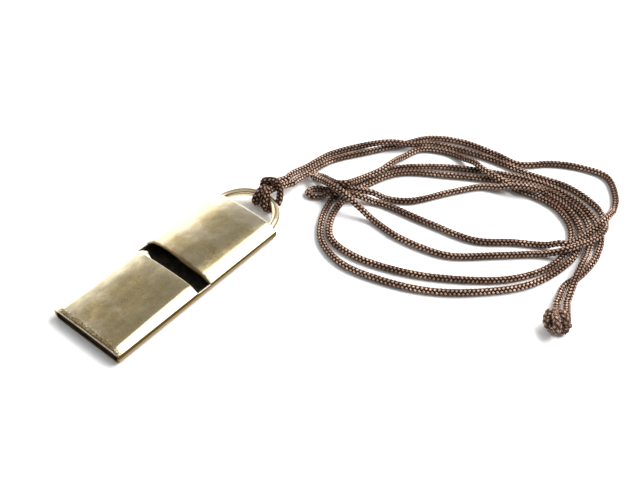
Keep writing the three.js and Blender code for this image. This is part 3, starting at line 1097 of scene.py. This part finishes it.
@dataclass
class Shells:
    """The pressed brass: the tray and its two covers."""

    outer: Material
    shaded_side_brass: Material
    inner: Material
    rear_round: float = 0.6
    rear_drop: float = 0.3
    samples: int = 42
    stations: int = 12
    tray_stations: int = 4
    corner_steps: int = 8
    lip_steps: int = 6
    slot_steps: int = 3
    cut_steps: int = 4
    rear_steps: int = 5
    lip_ease: float = 0.5
    slot_ease: float = 0.16
    cut_ease: float = 0.3
    close: float = 0.18
    burr_across: Range = (4.4, 4.8, 5.8, 6.3, 6.7, 7.6, 8.4, 8.9, 9.8)
    burr_out: Range = (0.0, 0.1, 0.72, 1.05, 1.14, 0.75, 0.3, 0.08, 0.0)
    bend_across: Range = (-9.6, -8.0, -6.0, -4.0, -2.0, 0.0, 3.0)
    bend_out: Range = (0.0, 0.22, 0.42, 0.5, 0.4, 0.2, 0.0)

    def side(self, form: CoverForm, x: float) -> Points:
        """Works out the right half of a cover's outside.

        Args:
            form: the cover.
            x: the place along the whistle.

        Returns:
            Pairs across and up, from the crown to the rim.
        """
        share = (x - form.ends[0]) / (form.ends[1] - form.ends[0])
        first, last = (spline(outline, self.samples) for outline in form.outlines)
        pairs = first * (1 - share) + last * share
        past = min(max((x - REAR + self.rear_round) / self.rear_round, 0.0), 1.0)
        drop = self.rear_drop * (1 - math.sqrt(1 - past * past))
        rim = SIZES.rim(x)
        over = form.crowns[0] * (1 - share) + form.crowns[1] * share - drop - rim
        half = SIZES.width / 2 - SIZES.cover_inset
        return np.column_stack([pairs[:, 0] * half, rim + np.maximum(pairs[:, 1], 0) * over])

    @staticmethod
    def moved_in(outside: Points, by: float) -> Points:
        """Moves a half outline in along its own normals.

        Args:
            outside: the half outline.
            by: how far it moves.

        Returns:
            The moved half outline, with its first point in the middle.
        """
        along = units(np.gradient(outside, axis=0))
        moved = outside + np.column_stack([along[:, 1], -along[:, 0]]) * by
        moved[0, 0] = 0.0
        return moved

    @classmethod
    def underside(cls, outside: Points) -> Points:
        """Moves a half outline in by the sheet's thickness and ends it at the rim.

        Args:
            outside: the half outline.

        Returns:
            The half outline of the inside, with as many points.
        """
        rim = outside[-1, 1]
        moved = cls.moved_in(outside, SIZES.sheet)
        below = int(np.argmax(moved[:, 1] < rim))
        above, under = moved[below - 1], moved[below]
        end = above + (above[1] - rim) / (above[1] - under[1]) * (under - above)
        return sampled(np.concatenate([moved[:below], [end]]), len(outside) - 1)

    def cover(self, form: CoverForm, stations: Stations) -> Object:
        """Builds one cover, with the burr or the bend at its end by the slot.

        Args:
            form: the cover.
            stations: where its outlines stand.

        Returns:
            The cover.
        """
        outlines = []
        for x, ease in stations:
            outside = self.side(form, x)
            under = self.underside(outside)
            share = np.clip((outside[:, 1:] - outside[-1, 1]) / self.lip_ease, 0, 1)
            over = outside + (self.moved_in(outside, ease) - outside) * share
            ring = across_at(x, np.concatenate([both_sides(under), both_sides(over)[::-1]]))
            if abs(FRONT - x) < self.slot_ease + SIZES.fit:
                ring[:, 0] += np.interp(ring[:, 1], self.burr_across, self.burr_out)
            if abs(BACK - x) < 2 * self.cut_ease:
                ring[:, 0] -= np.interp(ring[:, 1], self.bend_across, self.bend_out)
            outlines.append(ring)
        inside = range(2 * self.samples)
        return Loft(form.name, outlines, self.outer, self.inner, inside).build()

    def tray_outline(self, x: float) -> Points:
        """Works out the tray's outline.

        Args:
            x: the place along the whistle.

        Returns:
            Points round it: the outside from left to right, then the inside back.
        """
        rim, inner = SIZES.rim(x), SIZES.corner - SIZES.sheet
        out = tray_corner(0.0, rim, SIZES.corner, self.corner_steps)
        within = tray_corner(SIZES.sheet, rim, inner, self.corner_steps - 2)
        left = (-1, 1)
        return across_at(x, np.concatenate([out * left, out[::-1], within, (within * left)[::-1]]))

    @staticmethod
    def eased(start: float, radius: float, steps: int) -> Stations:
        """Works out stations round an end's edge.

        Args:
            start: where the end is.
            radius: the edge's radius.
            steps: how many pieces the round has.

        Returns:
            The stations.
        """
        turns = np.linspace(0, math.pi / 2, steps + 1)
        return [(start + radius * (1 - math.cos(t)), radius * (1 - math.sin(t))) for t in turns]

    def between(self, start: float, end: float) -> Stations:
        """Returns the plain stations between two places."""
        return [(float(x), 0.0) for x in np.linspace(start, end, self.stations + 1)[1:-1]]

    def tray(self) -> Object:
        """Builds the tray, with stations close to both ends of each stretch.

        Returns:
            The tray.
        """
        marks = [MOUTH, FRONT, BACK, REAR]
        places = []
        for start, end in zip(marks, marks[1:]):
            even = np.linspace(start, end, self.tray_stations + 1)
            places += [*even, start + self.close, end - self.close]
        outlines = [self.tray_outline(float(x)) for x in np.unique(np.round(places, 6))]
        inside = range(2 * (self.corner_steps + 2), len(outlines[0]) - 1)
        return Loft("tray", outlines, self.shaded_side_brass, self.inner, inside).build()

    def build(self) -> list[Object]:
        """Builds the tray and both covers.

        Returns:
            The three pieces.
        """
        lip = self.eased(MOUTH, self.lip_ease, self.lip_steps)
        edge = self.eased(FRONT, self.slot_ease, self.slot_steps)
        edge = [(2 * FRONT - x, ease) for x, ease in edge][::-1]
        stations = lip + self.between(lip[-1][0], edge[0][0]) + edge
        pieces = [self.tray(), self.cover(MOUTH_COVER, stations)]
        cut = self.eased(BACK, self.cut_ease, self.cut_steps)
        start, turns = REAR - self.rear_round, np.linspace(0, math.pi / 2, self.rear_steps + 1)
        rounded = [(start + self.rear_round * math.sin(turn), 0.0) for turn in turns]
        stations = cut + self.between(cut[-1][0], start) + rounded
        pieces.append(self.cover(CHAMBER_COVER, stations))
        for piece, node in zip(pieces, ("lower_shell", "mouth_cover", "chamber_cover")):
            dress(piece, "brass_shell", node)
        return pieces


@dataclass
class InnerParts:
    """The block under the windway, and the plain plug that closes the rear."""

    shells: Shells
    inside: Material
    dull: Material
    block_stations: int = 8
    plug_stations: int = 5
    block_setback: float = 0.4
    block_length: float = 21.2
    block_top_mouth: float = 1.5
    block_top_slot: float = 2.15
    plug_setback: float = 0.3
    plug_length: float = 3.6
    plug_edge: float = 0.05
    inset: float = SIZES.sheet + SIZES.fit
    corner: float = SIZES.corner - SIZES.sheet
    corner_steps: int = 4

    def half(self, top: float) -> Points:
        """Returns the right side of a piece in the tray, from its top to the bottom."""
        return tray_corner(self.inset, top, self.corner, self.corner_steps)

    def block(self) -> Object:
        """Builds the windway block.

        Returns:
            The block.
        """
        start = MOUTH + self.block_setback
        outlines = []
        for x in np.linspace(start, start + self.block_length, self.block_stations):
            share = (x - start) / self.block_length
            right = self.half(self.block_top_mouth * (1 - share) + self.block_top_slot * share)
            outlines.append(across_at(float(x), np.concatenate([right * (-1, 1), right[::-1]])))
        return Loft("windway_filler", outlines, self.inside).build()

    def plug(self) -> Object:
        """Builds the end plug, whose top follows the cover's underside.

        Returns:
            The plug.
        """
        rear = REAR - self.plug_setback
        outlines = []
        for x in np.linspace(rear - self.plug_length, rear, self.plug_stations):
            outside = self.shells.side(CHAMBER_COVER, float(x))
            roof = self.shells.underside(outside) - (0, SIZES.fit)
            right = self.half(SIZES.rim(float(x)) - SIZES.fit)
            whole = np.concatenate([right * (-1, 1), right[::-1], both_sides(roof)[::-1][1:-1]])
            outlines.append(across_at(float(x), whole))
        return Loft("rear_plug", outlines, self.dull, edge=self.plug_edge).build()

    def build(self) -> list[Object]:
        """Builds both pieces.

        Returns:
            The block and the plug.
        """
        pieces = [self.block(), self.plug()]
        for piece, node in zip(pieces, ("windway_block", "end_plug")):
            dress(piece, "brass_inner", node)
        return pieces


@dataclass
class Ring:
    """The bent wire at the rear."""

    material: Material
    sides: int = 28
    steps: int = 120
    edge: float = 0.12

    def line(self) -> Points:
        """Works out the centre line of the bent wire.

        Returns:
            Its points in millimetres.
        """
        angle = np.linspace(-SIZES.foot_angle, SIZES.foot_angle, self.steps + 1)
        out = SIZES.ring_radius * np.cos(angle) - SIZES.ring_inside
        side = SIZES.ring_sideways + SIZES.ring_radius * np.sin(angle)
        up = SIZES.ring_height + out * math.sin(SIZES.ring_tilt)
        return np.column_stack([SIZES.rear + out * math.cos(SIZES.ring_tilt), side, up])

    def build(self) -> Object:
        """Builds the wire as a closed tube.

        Returns:
            The piece.
        """
        line = self.line()
        up = np.array([-math.sin(SIZES.ring_tilt), 0.0, math.cos(SIZES.ring_tilt)])
        turn = np.linspace(0, TURN, self.sides, endpoint=False)
        outlines = []
        for centre, direction in zip(line, units(np.gradient(line, axis=0))):
            circle = np.outer(np.cos(turn), np.cross(up, direction)) + np.outer(np.sin(turn), up)
            outlines.append(centre + circle * SIZES.wire / 2)
        wire = Loft("ring_wire", outlines[::-1], self.material, edge=self.edge).build()
        dress(wire, "brass_wire", "bail")
        return wire


# The brass


@dataclass(frozen=True)
class BrassFinish:
    """A brass surface, brushed across the whistle, with patches of patina, rubbed specks, painted
    reflection and painted highlights.

    Its patina is kept off the shoulders, the left side and the rear end, which paints a paler
    reflection there. The pale marks on the lip's cut face, the slot's front edge and the rear edge
    are painted highlights, and the dark mark on the chamber cover's cut edge at the slot is painted
    shade. Its marks fade over X, Y and Z, over Y without its sign (wide), over X with a ragged
    edge, over Z counted from the sloping rim at the slot (top), and over the noises.
    """

    name: str = "brass_brushed"
    bright: Colour = (0.88, 0.77, 0.55, 1)
    dull: Colour = (0.54, 0.43, 0.225, 1)
    stain_and_shade: Colour = (0.17, 0.115, 0.045, 1)
    # pale brass for rubbed marks, also used for painted highlights on edges
    scraped_and_highlight: Colour = (0.86, 0.80, 0.68, 1)
    edge_tint: Colour = WHITE
    roughness: float = 0.2
    grain: float = 1.0
    # scales the tarnished marks, the painted shade, the rubbed marks and the painted highlights;
    # nought leaves them out
    marks_shown: float = 1.0
    side: Range = (5.8, 7.8)
    clouds: Mark = Mark(("cloud", 0.36, 0.62), share=0.6)
    stained: Mark = Mark(("specks", 0.42, 0.28), share=0.5)
    polished: Mark = Mark(("specks", 0.60, 0.76), share=0.3)
    even_age: float = 0.3
    blotch_ages: float = 0.5
    blotch_roughens: float = 0.12
    age_roughens: float = 0.06
    tarnish_and_shade_roughens: float = 0.12
    side_roughens: float = 0.03
    wear_and_highlight_roughens: float = 0.2
    wear_and_highlight_dulls: float = 0.85
    side_smooths: float = 0.6
    heights: Range = (0.0005, 0.00003, 0.00003, 0.000012)
    noises: tuple[tuple[str, Noise], ...] = (
        ("cloud", Noise(0.17, 3.0, 0.55, (1.0, 0.7, 1.0))),
        ("brushed", Noise(1.0, 4.0, 0.65, (4.5, 0.3, 4.5))),
        ("fine", Noise(1.0, 2.0, 0.6, (14.0, 1.2, 14.0))),
        ("swell", Noise(0.12)),
        ("blotch", Noise(0.9, 4.0, 0.65)),
        ("specks", Noise(2.6, 2.0, 0.6)),
        ("flecks", Noise(3.4, 3.0, 0.7)),
    )
    # painted reflection: the patina patches are real, but this mask keeps them off both shoulders,
    # eases them on the left (+Y) side, takes them off the rear end and thins them on the chamber
    # cover, so these parts show a paler, painted reflection
    age_and_reflection: Mark = Mark(
        ("wide", 8.6, 7.0),
        ("Y", 6.5, 3.0, 0.35, 1.0),
        ("X", REAR - 5.5, REAR - 1.5, 1.0, 0.05),
        ("X", BACK + 3.0, BACK + 9.0, 1.0, 0.78),
    )
    tarnish_and_shade: tuple[Mark, ...] = (
        # the mouth's lip is tarnished
        Mark(
            ("ragged", MOUTH + 1.3, MOUTH + 0.8),
            ("flecks", 0.60, 0.44, 0.3, 1.0),
            ("Y", 9.2, 8.2),
        ),
        # painted shade on the chamber cover's cut face and bent edge at the slot
        Mark(("ragged", BACK + 0.7, BACK + 0.1), ("ragged", FRONT + 1.0, FRONT + 2.0), share=0.9),
    )
    wear_and_highlight: tuple[Mark, ...] = (
        # painted highlight on the lip's cut face at the mouth
        Mark(("X", MOUTH + 0.05, MOUTH + 0.02), share=0.3),
        # rubbed specks just behind the mouth
        Mark(
            ("X", MOUTH + 0.4, MOUTH + 0.8),
            ("X", MOUTH + 1.6, MOUTH + 1.2),
            ("specks", 0.54, 0.66),
            share=0.4,
        ),
        # painted highlight along the mouth cover's eased edge at the slot
        Mark(("X", FRONT - 0.15, FRONT - 0.08), ("X", FRONT + 0.6, FRONT + 0.3)),
        # painted highlight along the rounded rear edge
        Mark(("X", REAR - 0.26, REAR - 0.16), share=0.8),
    )

    def values(self, g: Graph) -> dict[str, Sock]:
        """Works out the values that the marks fade over.

        Args:
            g: the material's graph.

        Returns:
            Each value by its name.
        """
        place = g.millimetres()
        values = {name: g.noise(place, noise) for name, noise in self.noises}
        values |= {name: g.axis(place, name) for name in "XYZ"}
        values["wide"] = values["Y"].absolute()
        values["ragged"] = values["X"] + (values["blotch"] - 0.5)
        fall = (SIZES.rim_slot - SIZES.rim_rear) / SIZES.slot
        values["top"] = values["Z"] + fall * (values["X"] - FRONT)
        return values

    def build(self) -> Material:
        """Builds the material.

        Returns:
            The finished brass.
        """
        g = MaterialGraph(self.name)
        at = self.values(g)
        blotch, side = at["blotch"], at["wide"].ramp(*self.side)
        patches = self.even_age + self.clouds.mask(at) + self.blotch_ages * blotch
        age_and_reflection_share = (self.age_and_reflection.mask(at) * patches).most(0.0).least(1.0)
        tarnish_and_shade, wear_and_highlight = strongest(self.tarnish_and_shade, at).least(1.0), strongest(self.wear_and_highlight, at)
        # patina, with the painted reflection that its mask adds
        colour = g.mix(age_and_reflection_share, self.bright, self.dull)
        colour = g.mix(self.stained.mask(at) * age_and_reflection_share, colour, self.stain_and_shade)
        colour = g.mix(self.polished.mask(at), colour, self.bright)
        # darkening: real at the mouth's lip, painted shade at the slot and on the tray
        colour = g.mix(tarnish_and_shade * self.marks_shown, colour, self.stain_and_shade)
        # pale rubbed specks, and painted highlights on the edges that catch the light
        colour = g.mix(wear_and_highlight * self.marks_shown, colour, self.scraped_and_highlight)
        rough = self.roughness + self.blotch_roughens * (blotch - 0.5) * (1.0 - side)
        rough = rough + self.age_roughens * age_and_reflection_share + self.tarnish_and_shade_roughens * tarnish_and_shade
        rough = rough + self.side_roughens * side
        swelling, blotching, brushing, graining = self.heights
        normal = g.bump(at["swell"], swelling, 0.5)
        normal = g.bump(blotch * (1.0 - side), blotching, 0.5, normal)
        brushed = at["brushed"] * (1.0 - self.side_smooths * side)
        normal = g.bump(brushed, brushing, 0.5 * self.grain, normal)
        normal = g.bump(at["fine"], graining, 0.4 * self.grain, normal)
        metal = 1.0 - self.wear_and_highlight_dulls * self.marks_shown * wear_and_highlight if self.marks_shown else 1.0
        return g.surface(
            {
                "Base Color": colour,
                "Metallic": metal,
                "Roughness": rough + self.wear_and_highlight_roughens * self.marks_shown * wear_and_highlight,
                "Specular Tint": self.edge_tint,
                "Normal": normal,
            }
        )


@dataclass(frozen=True)
class ShadedSideFinish(BrassFinish):
    """The tray's brass: the covers' brass made darker, painted shade for the darker reflection its
    sides show.

    It gets painted shade along the right seam under the cover's edge, low down by the table and at
    the mouth's front end, and is darker towards the rear. Beside the slot and on its left face it
    is rubbed pale.
    """

    name: str = "brass_side_shaded"
    # painted shade: the covers' brass made darker, for the darker reflection the tray's sides show
    bright: Colour = (0.31, 0.235, 0.14, 1)
    dull: Colour = (0.24, 0.175, 0.09, 1)
    stain_and_shade: Colour = (0.07, 0.054, 0.02, 1)
    edge_tint: Colour = (0.7, 0.56, 0.4, 1)
    tarnish_and_shade: tuple[Mark, ...] = (
        # painted shade along the right seam, under the cover's edge
        Mark(("Z", SIZES.rim_slot - 1.0, SIZES.rim_slot - 0.45), ("Y", 5.0, 4.0)),
        # painted shade low down, by the table
        Mark(("Z", SIZES.rim_slot - 1.75, SIZES.rim_slot - 2.2), share=0.6),
        # painted shade on the tray's front end at the mouth
        Mark(("X", MOUTH + 0.6, MOUTH + 0.3), ("wide", 9.5, 9.2)),
        # darker towards the rear
        Mark(("X", REAR - 4.0, REAR - 0.5), share=0.7),
    )
    beside: tuple[tuple, ...] = (("X", FRONT - 0.1, FRONT), ("X", BACK + 0.1, BACK))
    wear_and_highlight: tuple[Mark, ...] = (
        Mark(*beside, ("Y", -9.7, -9.78), ("top", 2.16, 2.24), ("specks", 0.30, 0.42, 0.4, 0.8)),
        Mark(*beside, ("Y", 9.2, 9.3), ("top", 1.7, 1.9)),
        Mark(("Y", 9.72, 9.78), ("Z", 1.2, 1.8), share=0.9),
    )


@dataclass(frozen=True)
class DullFinish(BrassFinish):
    """The plug's brass: dull, with none of the rubbed or tarnished marks, painted shade or painted
    highlights.
    """

    name: str = "brass_dull"
    bright: Colour = (0.5, 0.41, 0.24, 1)
    dull: Colour = (0.3, 0.24, 0.14, 1)
    roughness: float = 0.4
    marks_shown: float = 0.0


@dataclass(frozen=True)
class WireFinish(BrassFinish):
    """The ring's brass: drawn smooth, with hardly any grain."""

    name: str = "brass_wire"
    bright: Colour = (0.84, 0.72, 0.50, 1)
    dull: Colour = (0.70, 0.57, 0.35, 1)
    roughness: float = 0.22
    grain: float = 0.1
    marks_shown: float = 0.0


@dataclass(frozen=True)
class InsideFinish(BrassFinish):
    """The inside brass: dull and dusty, painted nearly black for the shade inside the whistle, with
    a scuffed left side.
    """

    name: str = "brass_inside_shade"
    # nearly black: a dull patina darkened further as painted shade for the inside of the whistle
    bright: Colour = (0.010, 0.007, 0.005, 1)
    dull: Colour = (0.05, 0.036, 0.02, 1)
    scraped_and_highlight: Colour = (0.30, 0.28, 0.25, 1)
    roughness: float = 0.55
    noises: tuple[tuple[str, Noise], ...] = (
        ("blotch", Noise(0.7, 4.0, 0.6)),
        ("grain", Noise(1.0, 3.0, stretch=(3.0, 0.6, 3.0))),
    )
    age_and_reflection: Mark = Mark(("blotch", 0.35, 0.7))
    scuff: Mark = Mark(("Y", 9.3, 9.38), ("Z", 0.9, 1.9), ("grain", 0.3, 0.6, 0.3, 1.0))

    def build(self) -> Material:
        """Builds the material.

        Returns:
            The finished inside brass.
        """
        g = MaterialGraph(self.name)
        at = self.values(g)
        colour = g.mix(self.age_and_reflection.mask(at), self.bright, self.dull)
        return g.surface(
            {
                "Base Color": g.mix(self.scuff.mask(at), colour, self.scraped_and_highlight),
                "Metallic": 0.7,
                "Roughness": self.roughness + 0.2 * at["grain"],
                "Normal": g.bump(at["grain"], 0.00004, 0.5),
            }
        )


# The stage


@dataclass(frozen=True)
class Glow:
    """A soft part of the sky: the way it lies, its ramp over that, and how bright it is."""

    way: Triple
    span: Range
    strength: float = 1.0

    def shown(self, g: Graph, way: Sock) -> Sock:
        """Returns its brightness in a direction."""
        return g.towards(way, self.way).ramp(*self.span) * self.strength


@dataclass(frozen=True)
class StageLook:
    """The white table, the soft light and the camera, in metres."""

    camera_place: Triple = (-0.092246, -0.115782, 0.150766)
    pitch: float = math.radians(44.539)
    yaw: float = math.radians(39.734)
    lens: float = 53.4061
    sensor: float = 36.0
    nearest: float = 0.005
    key_azimuth: float = math.radians(-27)
    key_elevation: float = math.radians(47)
    key_target: Triple = (0.03, -0.02, 0.0)
    key_distance: float = 0.6
    key_width: float = 0.56
    key_height: float = 0.27
    key_power: float = 6.1
    key_mirrored: float = 2.6
    key_slant: float = 0.5
    key_across: tuple[float, Range] = (0.2, (0.45, 0.37))
    key_upward: tuple[float, Range] = (-0.15, (0.5, 0.4))
    key_front: Range = (0.1, 0.2)
    table_half: float = 1.2
    table_drop: float = 0.00002
    table_colour: Colour = (0.88, 0.88, 0.88, 1)
    table_lift: float = 0.02
    table_shine: float = 0.25
    table_far: Range = (260.0, 420.0)
    sky: Glow = Glow((0.64, 0.77, 0.0), (0.0, 0.6, 0.05, 0.27))
    panel: Glow = Glow((0.423, 0.906, 0.0), (0.3, 0.62), 1.65)
    panel_edge: Glow = Glow((0.2695, -0.7764, 0.5696), (-0.02, -0.08))
    horizon: Glow = Glow((0.87, 0.5, 0.0), (0.2, 0.6), 0.8)
    horizon_height: Range = (0.79, 0.35)
    overhead: Glow = Glow((-0.296, -0.171, 0.94), (0.83, 0.9), 0.5)
    skirting: float = 0.6
    skirting_height: Range = (0.42, 0.26)

    def camera(self) -> None:
        """Sets the camera at the photograph's place."""
        data = bpy.data.cameras.new("camera")
        data.lens = self.lens
        data.sensor_width = self.sensor
        data.clip_start = self.nearest
        camera = placed("camera", data)
        level = math.cos(self.pitch)
        way = (level * math.cos(self.yaw), level * math.sin(self.yaw), -math.sin(self.pitch))
        self.aim(camera, Vector(self.camera_place), Vector(way))
        bpy.context.scene.camera = camera

    @staticmethod
    def aim(made: Object, place: Vector, way: Vector) -> None:
        """Puts a camera or lamp somewhere and points it.

        Args:
            made: the camera or lamp.
            place: where it goes.
            way: the direction that it looks in.
        """
        made.location = place
        made.rotation_mode = "QUATERNION"
        made.rotation_quaternion = way.to_track_quat("-Z", "Y")

    def key_axes(self) -> tuple[Vector, Vector, Vector]:
        """Works out the lamp's own directions.

        Returns:
            The direction to the lamp, and its directions across and up.
        """
        level, high = math.cos(self.key_elevation), math.sin(self.key_elevation)
        cos, sin = math.cos(self.key_azimuth), math.sin(self.key_azimuth)
        up = Vector((-high * cos, -high * sin, level))
        return Vector((level * cos, level * sin, high)), Vector((-sin, cos, 0.0)), up

    def key_light(self) -> None:
        """Sets the large soft lamp behind the whistle, which the world draws for mirrors."""
        data = bpy.data.lights.new("key_light", "AREA")
        data.shape = "RECTANGLE"
        data.size, data.size_y = self.key_width, self.key_height
        data.energy = self.key_power
        lamp = placed("key_light", data)
        towards = self.key_axes()[0]
        self.aim(lamp, Vector(self.key_target) + towards * self.key_distance, -towards)
        lamp.visible_glossy = False

    def lamp_mirrored(self, g: Graph, way: Sock) -> Sock:
        """Draws the lamp's slanted shape for the metal to mirror.

        Args:
            g: the world's graph.
            way: the direction looked in.

        Returns:
            One where the lamp is.
        """
        front, across, upward = (g.towards(way, tuple(axis)) for axis in self.key_axes())
        (aside, width), (lift, height) = self.key_across, self.key_upward
        wide = ((across - self.key_slant * upward) / front + aside).absolute().ramp(*width)
        high = (upward / front + lift).absolute().ramp(*height)
        return wide * high * front.ramp(*self.key_front)

    def world(self) -> None:
        """Sets a dim sky with what the metal mirrors in it, and plain white to the camera.

        A panel stands on the left, a glow on the horizon behind and another overhead, and a pale
        band low all round shows in mirrors alone.
        """
        world = bpy.data.worlds.new("studio")
        world.use_nodes = True
        bpy.context.scene.world = world
        g = Graph(world.node_tree)
        way = g.node("ShaderNodeTexCoord", out="Generated")
        height = g.axis(way, "Z")
        parts = (self.sky, self.panel, self.panel_edge, self.horizon, self.overhead)
        sky, panel, edge, low, above = (part.shown(g, way) for part in parts)
        sky = sky + (panel * edge).most(low * height.ramp(*self.horizon_height)) + above
        sky = sky.most(self.lamp_mirrored(g, way) * self.key_mirrored)
        sky = sky.most(g.ray("Glossy") * height.ramp(*self.skirting_height) * self.skirting)
        seen = {0: g.ray("Camera"), 2: sky, 3: 1.0}
        strength = g.node("ShaderNodeMix", {"data_type": "FLOAT"}, seen)
        light = g.node("ShaderNodeBackground", None, {"Color": WHITE, "Strength": strength})
        g.end("ShaderNodeOutputWorld", "Surface", light)

    def table(self) -> None:
        """Builds the white table, which keeps the shadows and fades to white far off."""
        mesh = bpy.data.meshes.new("table")
        signs = ((-1, -1), (1, -1), (1, 1), (-1, 1))
        corners = [(x * self.table_half, y * self.table_half, -self.table_drop) for x, y in signs]
        mesh.from_pydata(corners, [], [(0, 1, 2, 3)])
        g = MaterialGraph("table_white")
        diffuse = g.node("ShaderNodeBsdfDiffuse", None, {"Color": self.table_colour})
        camera = g.ray("Camera")
        lift = g.glow(camera * self.table_lift + g.ray("Glossy") * self.table_shine)
        both = g.node("ShaderNodeAddShader", None, {0: diffuse, 1: lift})
        outward = g.vector("LENGTH", {0: g.millimetres()}, "Value")
        far = camera * outward.ramp(*self.table_far)
        shaders = {0: far, 1: both, 2: g.glow(1.0)}
        mesh.materials.append(g.made(g.node("ShaderNodeMixShader", None, shaders)))
        placed("table", mesh)

    def build(self) -> None:
        """Builds the whole stage but the camera."""
        bpy.context.scene.view_settings.view_transform = "Standard"
        self.key_light()
        self.world()
        self.table()


def main() -> None:
    """Builds the camera, the cord, the whistle and the stage."""
    logging.basicConfig(level=logging.INFO, format="%(name)s: %(message)s")
    look = StageLook()
    look.camera()
    pieces = BraidedCord().build()
    finishes = (BrassFinish(), InsideFinish(), ShadedSideFinish(), DullFinish(), WireFinish())
    brass, inside, side, dull, wire = (finish.build() for finish in finishes)
    shells = Shells(brass, side, inside)
    pieces += [*shells.build(), *InnerParts(shells, inside, dull).build(), Ring(wire).build()]
    for piece in pieces:
        LOG.info("%s has %d faces", piece.name, len(piece.data.polygons))
    look.build()


if __name__ == "__main__":
    main()
